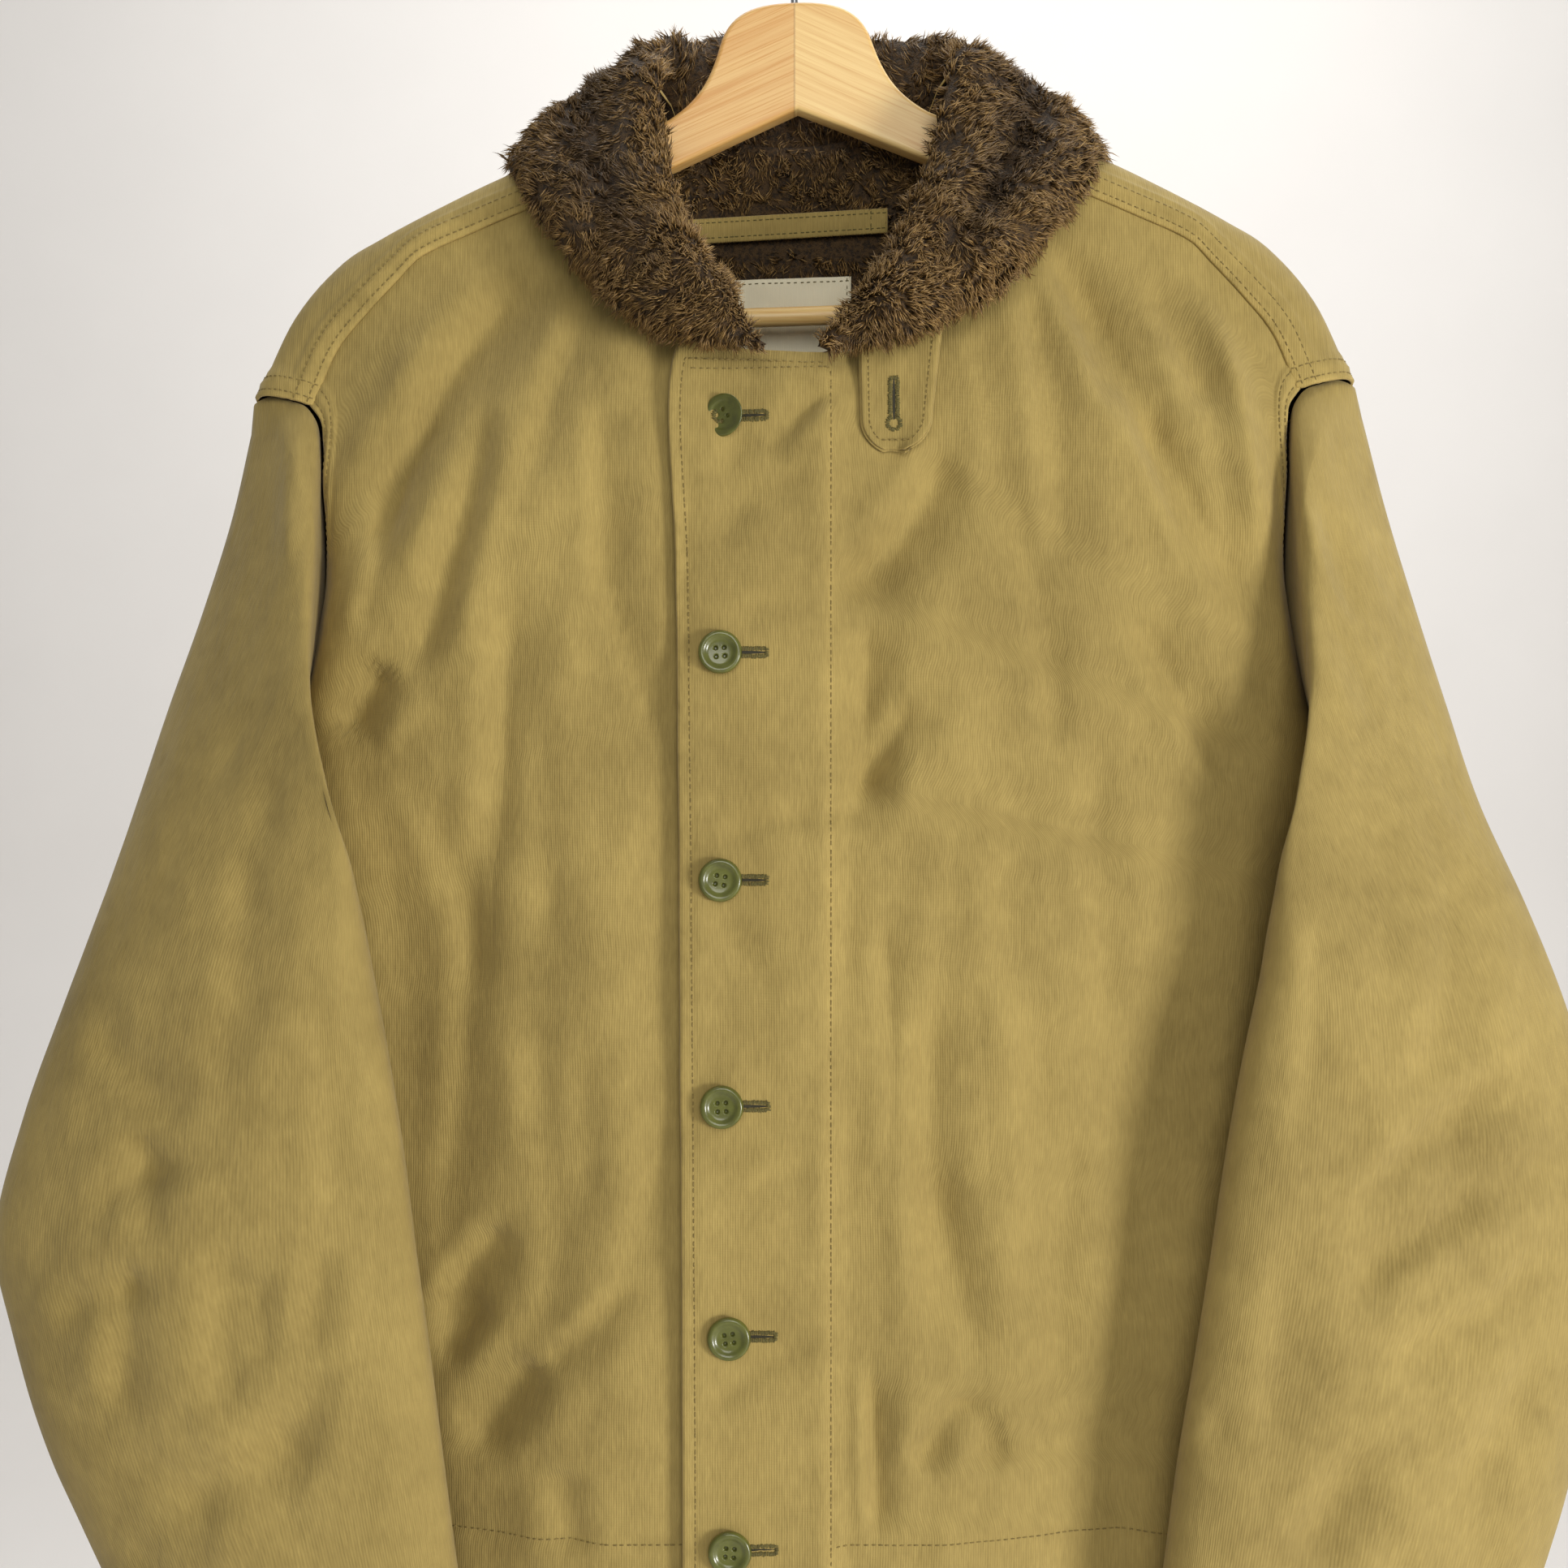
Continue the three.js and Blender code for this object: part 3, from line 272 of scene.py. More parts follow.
# Creases in the sleeves' fronts: below each shoulder and across the elbows.
SLEEVE_FOLDS = table(FOLD_COLUMNS, [
    (-230, -270, -224, -322, 0, 6, 0.3, 5),
    (-241, -268, -234, -350, -2, 8, 0.3, -3.5),
    (240, -258, 230, -330, -3, 8, 0.3, 5.5),
    (252, -256, 236, -362, -3, 8, 0.3, -3.5),
    (-303, -598, -295, -650, 4, 8, 0.3, 3.4),
    (-299, -656, -306, -728, -3, 8, 0.3, 3),
    (-261, -648, -256, -726, 0, 10, 0.3, 3.4),
    (-241, -662, -238, -702, 0, 8, 0, 2.8),
    (-213, -650, -217, -692, 0, 8, 0.2, 2.8),
    (-278, -773, -220, -731, 0, 13, 0.2, 3.4),
    (326, -577, 247, -640, -6, 11, 0.3, 4),
    (318, -629, 248, -671, -6, 11, -0.3, 4),
    (260, -738, 226, -789, 0, 12, 0.2, 3.6),
    (192, -722, 188, -738, 0, 9, 0, 3),
    (338, -700, 300, -760, 4, 12, 0.2, 2.6),
    (246, -330, 262, -372, 0, 9, 0.2, 2.6),
    (-330, -560, -280, -600, 5, 9, 0.3, 2.4),
    (-250, -470, -262, -580, 5, 10, 0.3, 2),
    (-216, -540, -208, -640, 3, 8, 0.3, 2),
    (-322, -640, -262, -610, 5, 9, 0.3, 2.4),
    (-340, -690, -290, -670, 4, 8, 0.3, 2.2),
    (-232, -780, -206, -700, 4, 10, 0.3, 2.6),
    (300, -480, 282, -580, 5, 10, 0.3, 2.2),
    (232, -500, 226, -600, 4, 8, 0.3, 2),
    (350, -620, 290, -600, 5, 10, 0.3, 2.4),
    (340, -660, 262, -700, 6, 10, 0.3, 2.8),
    (216, -640, 208, -740, 4, 9, 0.3, 2.2),
])

# The pile collar: each section goes from its inner edge over a crest to its outer edge.
# hollow is how far the crest dips, and how strongly painted shade darkens the pile along that dip.
COLLAR = table("in_x in_y in_z top_x top_y top_z out_x out_y out_z hollow", [
    (-12, -62, -241, -16, -67, -244, -20, -62, -248, 0),
    (-20, -60, -228, -36, -79, -232, -50, -59, -245, 0),
    (-28, -54, -212, -55, -79, -213, -78, -55, -235, 0.2),
    (-40, -45, -195, -73, -74, -192, -102, -48, -212, 0.6),
    (-49, -36, -174, -88, -64, -165, -124, -39, -184, 1),
    (-55, -25, -150, -99, -48, -140, -137, -27, -163, 1),
    (-62, -13, -106, -100, -24, -107, -145, -12, -149, 1),
    (-63, 4, -95, -93, 6, -84, -141, 16, -140, 0.7),
    (-59, 13, -103, -76, 26, -66, -117, 46, -138, 0.3),
    (-36, 16, -124, -44, 38, -58, -76, 64, -140, 0),
    (5, 17, -136, 5, 43, -60, 5, 70, -146, 0),
    (44, 16, -118, 56, 38, -60, 86, 64, -138, 0),
    (68, 13, -96, 89, 26, -67, 129, 46, -134, 0.3),
    (75, 4, -88, 104, 6, -82, 152, 16, -134, 0.7),
    (72, -13, -96, 111, -24, -102, 155, -12, -142, 1),
    (60, -25, -144, 108, -48, -135, 147, -27, -157, 1),
    (50, -36, -170, 96, -64, -161, 132, -39, -180, 1),
    (41, -45, -192, 80, -74, -189, 110, -48, -208, 0.6),
    (30, -54, -212, 60, -79, -211, 84, -55, -228, 0.2),
    (18, -60, -228, 40, -79, -232, 58, -59, -240, 0),
    (7, -63, -242, 14, -70, -244, 22, -63, -248, 0),
])

# Buttons: place, how far each is turned and how far it tips into its buttonhole, in degrees.
BUTTONS = table("x z turn tip", [
    (-34.3, -272.6, 40, 24),
    (-34.3, -381.7, 4, 0),
    (-34.3, -486, -10, 0),
    (-33.6, -589.6, 2, 0),
    (-30.3, -695.4, 8, 0),
    (-29.9, -793.1, -6, 0),
])


def colour(red, green, blue):
    """A linear colour from the three values from 0 to 255 that a screen shows."""
    shown = np.array([red, green, blue]) / 255
    linear = np.where(shown <= 0.04045, shown / 12.92, ((shown + 0.055) / 1.055) ** 2.4)
    return tuple(float(v) for v in linear)


class JacketSizes(bpy.types.PropertyGroup):
    """Sizes that a user may change, in millimetres where no unit is given."""

    coarse: FloatProperty(name="Grid step", description="Grid step on open cloth", default=4.2, min=2)
    fine: FloatProperty(name="Seam step", description="Grid step beside seams", default=1.5, min=0.5)
    relief: FloatProperty(name="Relief", description="Times the folds' depths in their tables", default=1.7)
    wrinkle: FloatProperty(name="Unevenness", description="Depth of the cloth's small rolls", default=1.1)
    pile: FloatProperty(name="Pile depth", description="Depth of the collar's pile", default=6.0, min=1)
    strand: FloatProperty(name="Strand length", description="Length of a pile strand", default=8.0, min=1)
    strands: IntProperty(name="Strands", description="Pile strands on the collar", default=32000, min=100)
    stitch: FloatProperty(name="Stitch", description="Length of one stitch", default=2.5, min=0.5)
    pitch: FloatProperty(name="Stitch pitch", description="From one stitch to the next", default=3.3, min=1)


def tone_of(name, description, red, green, blue):
    """A colour property from its label, its use and the values from 0 to 255 that a screen shows."""
    default = colour(red, green, blue)
    return FloatVectorProperty(name=name, description=description, subtype="COLOR", default=default)


class JacketColours(bpy.types.PropertyGroup):
    """Colours that a user may change."""

    cotton: tone_of("Cotton", "Worn, light tone of the cotton", 176, 153, 86)
    cotton_deep: tone_of("Deep cotton", "Deep tone of the cotton", 138, 118, 60)
    pile_root: tone_of("Pile root", "Dark foot of the pile", 64, 46, 24)
    pile_middle: tone_of("Pile", "Main tone of the pile", 144, 110, 58)
    pile_tip: tone_of("Pile tip", "Pale tips of the pile", 212, 176, 112)
    wood: tone_of("Wood", "Pale tone of the hanger", 240, 206, 136)
    wood_deep: tone_of("Deep wood", "Grain lines of the hanger", 212, 156, 82)
    resin: tone_of("Button", "Olive resin of the buttons", 86, 89, 34)
    thread: tone_of("Thread", "Thread of the seams", 128, 110, 58)
    hole_thread: tone_of("Buttonhole thread", "Thread of the buttonholes", 96, 88, 42)
    tape: tone_of("Label", "Bare woven neck label", 244, 236, 206)
    steel: tone_of("Steel", "Plated wire of the hook", 196, 198, 201)
    backdrop: tone_of("Backdrop", "Floor and wall behind the jacket", 233, 230, 227)


def sizes():
    """The sizes as the scene holds them."""
    return bpy.context.scene.jacket_sizes


def colours():
    """The colours as the scene holds them."""
    return bpy.context.scene.jacket_colours


# Curves and tables

def smooth(t):
    """Rises from 0 to 1 as t does, level at both ends: three t squared less two t cubed."""
    t = np.clip(t, 0, 1)
    return t * t * (3 - 2 * t)


def unit(vectors):
    """Vectors brought to length 1."""
    return vectors / np.maximum(np.linalg.norm(vectors, axis=-1, keepdims=True), 1e-9)


def read_table(rows, along, where):
    """Cubic pieces between a table's rows, which leave each row at the mean slope of the rows beside it."""
    key = rows[along]
    count = len(key)
    where = np.asarray(where, float)
    i = np.clip(np.searchsorted(key, where, side="left") - 1, 0, count - 2)
    step = key[i + 1] - key[i]
    t = np.clip((where - key[i]) / step, 0, 1)
    found = {}
    for name, values in rows.items():
        before, after = np.maximum(i - 1, 0), np.minimum(i + 2, count - 1)
        leave = (values[i + 1] - values[before]) / (key[i + 1] - key[before])
        arrive = (values[after] - values[i]) / (key[after] - key[i])
        bend = values[i] * (2 * t**3 - 3 * t**2 + 1) + values[i + 1] * (3 * t**2 - 2 * t**3)
        found[name] = bend + step * (leave * (t**3 - 2 * t**2 + t) + arrive * (t**3 - t**2))
    return found


def numbered(rows):
    """The same table with a step column that counts its rows."""
    count = len(next(iter(rows.values())))
    return {**rows, "step": np.arange(count, dtype=float)}


def measured(rows):
    """Adds the running length of a panel's rows: the mean of the ways between their inner and outer ends."""
    inner = np.hypot(np.diff(rows["inner_out"]), np.diff(rows["inner_z"]))
    ends = np.stack([rows["outer_out"], rows["outer_y"], rows["outer_z"]], -1)
    outer = np.linalg.norm(np.diff(ends, axis=0), axis=1)
    return {**rows, "run": np.concatenate([[0], np.cumsum((inner + outer) / 2)])}


def spaced(length, fine_at, reach=13.0):
    """Places from 0 to 1 along a length, closer together near the places of fine_at."""
    s = np.linspace(0, length, 2400)
    near = np.min([np.abs(s - place) for place in fine_at], axis=0)
    fine, coarse = sizes().fine, sizes().coarse
    gap = fine + (coarse - fine) * smooth((near - reach) / reach)
    run = np.concatenate([[0], np.cumsum(np.diff(s) / gap[1:])])
    count = int(np.ceil(run[-1]))
    return np.interp(np.linspace(0, run[-1], count + 1), run, s) / length


def closed_curve(points, t, closed=True):
    """A smooth curve through points, its speed at each following the square root of the way between them."""
    count = len(points)
    spans = count if closed else count - 1
    place = np.asarray(t) * spans
    i = np.minimum(np.floor(place).astype(int), spans - 1)
    t = (place - i)[:, None]
    if closed:
        p0, p1, p2, p3 = (points[(i + k) % count] for k in (-1, 0, 1, 2))
    else:
        first, last = 2 * points[0] - points[1], 2 * points[-1] - points[-2]
        long = np.vstack([first, points, last])
        p0, p1, p2, p3 = (long[i + k] for k in (0, 1, 2, 3))
    d0, d1, d2 = (np.sqrt(np.linalg.norm(b - a, axis=1))[:, None] for a, b in ((p0, p1), (p1, p2), (p2, p3)))
    leave = ((p1 - p0) / d0 - (p2 - p0) / (d0 + d1) + (p2 - p1) / d1) * d1
    arrive = ((p2 - p1) / d1 - (p3 - p1) / (d1 + d2) + (p3 - p2) / d2) * d1
    squared = 3 * (p2 - p1) - 2 * leave - arrive
    cubed = 2 * (p1 - p2) + leave + arrive
    return p1 + leave * t + squared * t**2 + cubed * t**3


def fold_depth(folds, x, z):
    """How far a table's folds push the cloth back.

    Each is a bell-shaped trough between two low rolls, and fades at its ends.
    """
    depth = np.zeros(np.broadcast(x, z).shape)
    for x1, z1, x2, z2, bow, width, lean, deep in zip(*folds.values()):
        length = np.hypot(x2 - x1, z2 - z1)
        way_x, way_z = (x2 - x1) / length, (z2 - z1) / length
        run = ((x - x1) * way_x + (z - z1) * way_z) / length
        reach = np.clip(run, 0, 1)
        across = (z - z1) * way_x - (x - x1) * way_z - bow * 4 * reach * (1 - reach)
        past = (run - reach) * length / width
        fade = smooth(np.minimum(reach, 1 - reach) * 4 + 0.25)
        q = across / (width * (1 + lean * np.sign(across)))
        bell = np.exp(-(np.abs(q) ** 1.5)) - 0.2 * np.exp(-(((np.abs(q) - 1.9) / 0.8) ** 2))
        depth += deep * fade * bell * np.exp(-(past**2))
    return depth * sizes().relief


def uneven(a, b, size, seed):
    """Gentle unevenness: a dozen sine waves of about one length, in directions drawn from a seeded list."""
    rng = np.random.default_rng(seed)
    total = np.zeros(np.broadcast(a, b).shape)
    for turn, phase, stretch in rng.random((12, 3)):
        wave = 2 * np.pi / (size * (0.7 + 0.9 * stretch))
        angle = 2 * np.pi * turn
        total += np.sin(wave * (a * np.cos(angle) + b * np.sin(angle)) + 2 * np.pi * phase)
    return total / np.sqrt(12)


# Panels of the jacket, each a surface over two parameters

def raise_at(side, z):
    """Height added on the viewer's right, whose shoulder hangs higher; it fades out down to the chest."""
    if side < 0:
        return np.zeros_like(z)
    return LEFT_RAISE * (1 - smooth((RAISE_TOP - z) / (RAISE_TOP - RAISE_END)))


def round_side(out, edge, power):
    """How full a panel still is towards its edge: a rounded corner, 1 in the middle and 0 at the edge."""
    return (1 - np.clip(out / edge, 0, 1) ** power) ** (1 / power)


def step_out(t):
    """Columns stand closer together towards the armhole."""
    return t * (1.35 - 0.35 * t)


def front_depth(side, x, z):
    """The front cloth falls forward from the shoulder seam to the chest in one soft step."""
    out = np.maximum(side * (x - MIDDLE_X), SHOULDER["out"][0])
    drop = read_table(SHOULDER, "out", out)["seam_z"] + raise_at(side, z) - z
    return -(SHOULDER_DEPTH + (FRONT_DEPTH - SHOULDER_DEPTH) * smooth(drop / FRONT_FALL))


def front_surface(side, u, v):
    """One front: rows run from the neckline and edge out to the armhole and side, the first on the shoulder."""
    rows = measured(FRONT_ROWS if side < 0 else {**FRONT_ROWS, **FLAP_INNER})
    row = {k: c[:, None] for k, c in read_table(rows, "run", rows["run"][-1] * v).items()}
    share = step_out(u)[None, :]
    first, last = SHOULDER["out"][0], SHOULDER["out"][-1]
    top, end = SHOULDER["seam_z"][0], SHOULDER["seam_z"][-1]
    seam = read_table(SHOULDER, "out", first + (last - first) * share)["seam_z"]
    out = row["inner_out"] + (row["outer_out"] - row["inner_out"]) * share
    keep = 1 - smooth(row["run"] / 190)
    bend = (seam - top - (end - top) * share) * keep
    flat = row["inner_z"] + (row["outer_z"] - row["inner_z"]) * share + bend
    z = flat + raise_at(side, flat)
    x = MIDDLE_X + side * out
    full = round_side(np.maximum(out, 0), row["outer_out"], row["roll"])
    rolls = uneven(x, 0.5 * z, 70, 3) + 0.5 * uneven(x, 0.6 * z, 28, 4)
    folds = fold_depth(FRONT_FOLDS, x, z) + sizes().wrinkle * rolls
    deep = front_depth(side, x, z) + folds * smooth(row["run"] / 60)
    lift = FLAP_LIFT * smooth((FLAP_FLUSH_X - x) / (FLAP_FLUSH_X - FLAP_RAISED_X)) * (side > 0)
    y = row["outer_y"] + (deep - row["outer_y"]) * full - lift
    return np.stack(np.broadcast_arrays(x, y, z), -1)


def back_surface(side, u, arc, v):
    """Half of the back: an arc from the shoulder seam over the ridge, then rows down to the hem."""
    rows = measured(BACK_ROWS)
    run = np.concatenate([np.zeros(len(arc)), rows["run"][-1] * v[1:]])
    arc = np.concatenate([arc, np.ones(len(v) - 1)])[:, None]
    row = {k: c[:, None] for k, c in read_table(rows, "run", run).items()}
    neck = read_table(BACK_NECK, "out", np.linspace(0, BACK_NECK["out"][-1], 16))
    first, last = SHOULDER["out"][0], SHOULDER["out"][-1]
    seam = read_table(SHOULDER, "out", first + (last - first) * step_out(u))
    top = SHOULDER["seam_z"][0]
    level = np.ones(16)
    join = lambda a, b: np.concatenate([a, b])[None, :]
    start = join(neck["arc_start"], -np.ones(len(u)))
    seam_out, seam_z = join(neck["out"], seam["out"]), join(top * level, seam["seam_z"])
    ridge_out, ridge_z = join(neck["out"], seam["ridge_out"]), join(NECK_RIDGE_Z * level, seam["ridge_z"])
    back_out, back_z = join(neck["out"], seam["back_out"]), join(np.minimum(neck["z"], top), seam["back_z"])
    depth = join(NECK_BACK_DEPTH * level, NECK_BACK_DEPTH + (ARM_BACK_DEPTH - NECK_BACK_DEPTH) * step_out(u))
    swing = (start + (1 - start) * arc) * np.pi / 2
    turned, sweep = 1 - np.cos(swing), np.sin(swing)
    arch = lambda a, crest, b: crest + (b - a) / 2 * sweep + ((a + b) / 2 - crest) * turned
    lower = row["run"] > 0
    share = back_out / SHOULDER["back_out"][-1]
    middle, end = BACK_ROWS["inner_z"][0], SHOULDER["back_z"][-1]
    bend = (back_z - middle - (end - middle) * share) * (1 - smooth(row["run"] / 170))
    down = row["inner_z"] + (row["outer_z"] - row["inner_z"]) * share + bend
    out = np.where(lower, row["outer_out"] * share, arch(seam_out, ridge_out, back_out))
    flat = np.where(lower, down, arch(seam_z, ridge_z, back_z))
    z = flat + raise_at(side, flat) * smooth(out / 60)
    x = MIDDLE_X + side * out
    full = round_side(out, row["outer_out"], row["roll"])
    rolls = uneven(x, 0.5 * z, 75, 5) + 0.5 * uneven(x, 0.6 * z, 30, 6)
    folds = fold_depth(BACK_FOLDS, x, z) + sizes().wrinkle * rolls
    fall = depth + (BACK_DEPTH - depth) * smooth((BACK_FALL_Z - z) / BACK_FALL)
    deep = fall - folds * smooth(row["run"] / 60)
    y = np.where(lower, row["outer_y"] + (deep - row["outer_y"]) * full, arch(-SHOULDER_DEPTH, 0, depth))
    return np.stack(np.broadcast_arrays(x, y, z), -1)


def sleeve_surface(side, around, v):
    """A sleeve: lens-shaped rings between an outer and an inner edge, starting from the armhole seam."""
    turn = np.arange(around) / around
    front = turn <= 0.5
    down = UNDERARM_SHARE * turn * 2
    up = UNDERARM_SHARE + (1 - UNDERARM_SHARE) * (turn - 0.5) * 2
    hole_t = np.where(front, down, up)
    points = np.stack([ARMHOLE["out"], ARMHOLE["y"], ARMHOLE["z"]], -1)
    hole = closed_curve(points, hole_t)[None]
    rings = read_table(numbered(SLEEVE_RINGS), "step", v * (len(SLEEVE_RINGS["seam"]) - 1))
    ring = {k: c[:, None, None] for k, c in rings.items()}
    name = "left" if side > 0 else "right"
    outer = np.concatenate([ring[name + "_out"], ring["out_y"], ring["out_z"]], -1)
    inner = np.concatenate([ring[name + "_in"], ring["in_y"], ring["in_z"]], -1)
    angle = 2 * np.pi * turn[None, :, None]
    swell = np.abs(np.sin(angle)) ** 0.85
    none = np.zeros_like(ring["front"])
    ahead = np.concatenate([-ring["swing"], -ring["front"], none], -1)
    behind = np.concatenate([none, ring["back"], none], -1)
    bulge = np.where(front[None, :, None], ahead, behind)
    p = (outer + inner) / 2 + (outer - inner) / 2 * np.cos(angle) + bulge * swell
    x, z = side * p[..., 0] + MIDDLE_X, p[..., 2]
    rolls = uneven(x, 0.5 * z, 60, 7 + side) + 0.5 * uneven(x, 0.7 * z, 26, 9 + side)
    in_front = np.where(front, 1.0, 0.0)[None, :] * swell[..., 0]
    sway = fold_depth(SLEEVE_FOLDS, x, z) * in_front + sizes().wrinkle * rolls * np.sin(angle[..., 0])
    p[..., 1] += sway
    p += (hole - p) * ring["seam"]
    head = np.linspace(0, 1, 6)[:-1, None, None]
    start = hole + SLEEVE_SET_OFF
    p = np.concatenate([start + (p[:1] - start) * head, p])
    return np.stack([MIDDLE_X + side * p[..., 0], p[..., 1], p[..., 2] + raise_at(side, p[..., 2])], -1)


# Cloth as closed shells

def surface_normals(points, round_way, hint):
    """Unit normals of a grid, the cross product of its two ways, and whether they had to be turned."""
    if round_way:
        across = np.roll(points, -1, axis=1) - np.roll(points, 1, axis=1)
    else:
        across = np.gradient(points, axis=1)
    normals = unit(np.cross(across, np.gradient(points, axis=0)))
    turned = np.sum(normals * hint) < 0
    return (-normals if turned else normals), bool(turned)


def run_along(points, axis):
    """Running length of a grid along one of its ways, counted from the first line."""
    step = np.linalg.norm(np.diff(points, axis=axis), axis=-1)
    start = np.zeros_like(np.take(step, [0], axis=axis))
    return np.concatenate([start, np.cumsum(step, axis=axis)], axis=axis)


def from_end(points, axis):
    """Running length of a grid along one of its ways, counted back from the last line."""
    run = run_along(points, axis)
    return np.take(run, [-1], axis=axis) - run


def edge_distance(points, edge):
    """The straight way from each grid point to the nearest point of an edge."""
    away = points[:, :, None, :] - edge[None, None, :, :]
    return np.sqrt(np.min(np.sum(away * away, axis=-1), axis=-1))


def round_index(rows, columns):
    """The numbers of a grid's points, with the first column again after the last."""
    index = np.arange(rows * columns).reshape(rows, columns)
    return np.hstack([index, index[:, :1]])


def grid_quads(index):
    """The four corners of every cell of a grid of numbers."""
    return np.stack([index[:-1, :-1], index[:-1, 1:], index[1:, 1:], index[1:, :-1]], -1).reshape(-1, 4)


def shell(panel, thick):
    """A panel's outer face, an inner face one thickness behind it and a rounded rim that joins the two."""
    points, normals, uv, round_way = panel["points"], panel["normals"], panel["uv"], panel["round"]
    rows, columns = points.shape[:2]
    index = round_index(rows, columns) if round_way else np.arange(rows * columns).reshape(rows, columns)
    uv_index = np.arange(uv.shape[0] * uv.shape[1]).reshape(uv.shape[:2])
    inner = points - thick * normals
    away = np.zeros_like(points)
    away[0] += points[0] - points[1]
    away[-1] += points[-1] - points[-2]
    if not round_way:
        away[:, 0] += points[:, 0] - points[:, 1]
        away[:, -1] += points[:, -1] - points[:, -2]
    middle = (points + inner) / 2 + unit(away) * thick * 0.35
    if round_way:
        loops = [(index[0], uv_index[0]), (index[-1, ::-1], uv_index[-1, ::-1])]
    else:
        ring = lambda a: np.concatenate([a[0, :-1], a[:-1, -1], a[-1, :0:-1], a[:0:-1, 0], a[0, :1]])
        loops = [(ring(index), ring(uv_index))]
    count = rows * columns
    vertices = [points.reshape(-1, 3), inner.reshape(-1, 3)]
    faces = [grid_quads(index), grid_quads(index)[:, ::-1] + count]
    corners = [grid_quads(uv_index), grid_quads(uv_index)[:, ::-1]]
    made = 2 * count
    for loop, uv_loop in loops:
        size = len(loop) - 1
        rim = made + np.arange(size + 1) % size
        made += size
        vertices.append(middle.reshape(-1, 3)[loop[:-1]])
        faces.append(np.stack([loop[1:], loop[:-1], rim[:-1], rim[1:]], -1))
        faces.append(np.stack([rim[1:], rim[:-1], loop[:-1] + count, loop[1:] + count], -1))
        corners += [np.stack([uv_loop[1:], uv_loop[:-1], uv_loop[:-1], uv_loop[1:]], -1)] * 2
    parts = [len(f) for f in faces]
    inside = np.repeat([0, 1] + [0] * (len(parts) - 2), parts)
    faces, corners = np.vstack(faces), np.vstack(corners)
    if panel["turned"]:
        faces, corners = faces[:, ::-1], corners[:, ::-1]
    extra = sum(len(v) for v in vertices[2:])
    wear = np.concatenate([panel["wear"].ravel(), panel["wear"].ravel(), np.ones(extra) * panel["rim_wear"]])
    return {"points": np.vstack(vertices), "faces": faces, "uv": uv.reshape(-1, 2)[corners],
            "slots": inside, "values": {"wear": wear}}


def panel(points, hint, uv=None, round_way=False, wear=None, rim_wear=0.5):
    """A finished panel: its grid, outward normals, cloth coordinates in metres and worn places."""
    normals, turned = surface_normals(points, round_way, hint)
    if uv is None:
        flat_run = run_along(points[..., :2] if points.shape[-1] == 3 else points, 1)
        across = points[:, :1, 0] + flat_run * np.sign(points[:, -1:, 0] - points[:, :1, 0])
        uv = np.stack([across, points[..., 2] + 0 * across], -1) * MM
    wear = np.zeros(points.shape[:2]) if wear is None else wear
    return {"points": points, "normals": normals, "turned": turned, "uv": uv, "round": round_way,
            "wear": wear, "rim_wear": rim_wear}


def stitch_grooves(distance, places):
    """Narrow grooves that the thread draws in beside an edge, as bells round each row's place."""
    return sum(np.exp(-(((distance - place) / 1.1) ** 2)) for place in places)


SEAM_ROWS = (2.7, 9.6)


def felled(distance, share):
    """A lapped seam: its edge band stands one ply proud, ends behind the second row and is drawn in at both."""
    band = 1.25 * (1 - smooth((distance - 11) / 3)) - 0.55 * stitch_grooves(distance, SEAM_ROWS)
    puff = 0.35 * np.exp(-(((distance - 6) / 2.2) ** 2))
    return (band + puff) * share


def seam_wear(distance):
    """Wear along a seam, strongest on the edge itself."""
    return np.exp(-((distance / 1.8) ** 2)) + 0.35 * np.exp(-(((distance - 6) / 3) ** 2))


@lru_cache(maxsize=None)
def front_panel(side):
    """One front with its raised armhole band, and on the left one the button flap with its stitched edge."""
    edges = [0, 70, 335] if side > 0 else [0, 262]
    u = spaced(edges[-1], edges, 17 if side > 0 else 12)
    v = spaced(740, [0, 740], 10)
    points = front_surface(side, u, v)
    hint = np.array([0.0, -1.0, 0.0])
    normals, _ = surface_normals(points, False, hint)
    arm = from_end(points, 1)
    above = smooth((points[:, -1:, 2] - UNDERARM_Z + 6) / 12)
    rise = felled(arm, above)
    wear = seam_wear(arm) * above
    tuck = run_along(points, 0)
    rise -= 0.7 * (1 - smooth(tuck / 5))
    if side > 0:
        edge = edge_distance(points, points[:, 0])
        flap = smooth((FLAP_TURN_Z - points[:, :1, 2]) / 6)
        rise -= 0.5 * stitch_grooves(edge, [5.3]) * flap
        join = np.exp(-(((points[..., 0] - FLAP_SEAM_X) / 1.5) ** 2)) * smooth((-250 - points[..., 2]) / 4)
        rise -= 0.7 * join
        wear = wear + 0.9 * np.exp(-((edge / 1.6) ** 2)) * flap + 0.5 * join
    hem = from_end(points, 0)
    rise -= 0.5 * np.exp(-(((points[..., 2] - HEM_SEAM_Z) / 1.3) ** 2))
    wear = wear + 0.7 * np.exp(-((hem / 2) ** 2))
    return panel(points + normals * rise[..., None], hint, wear=wear)


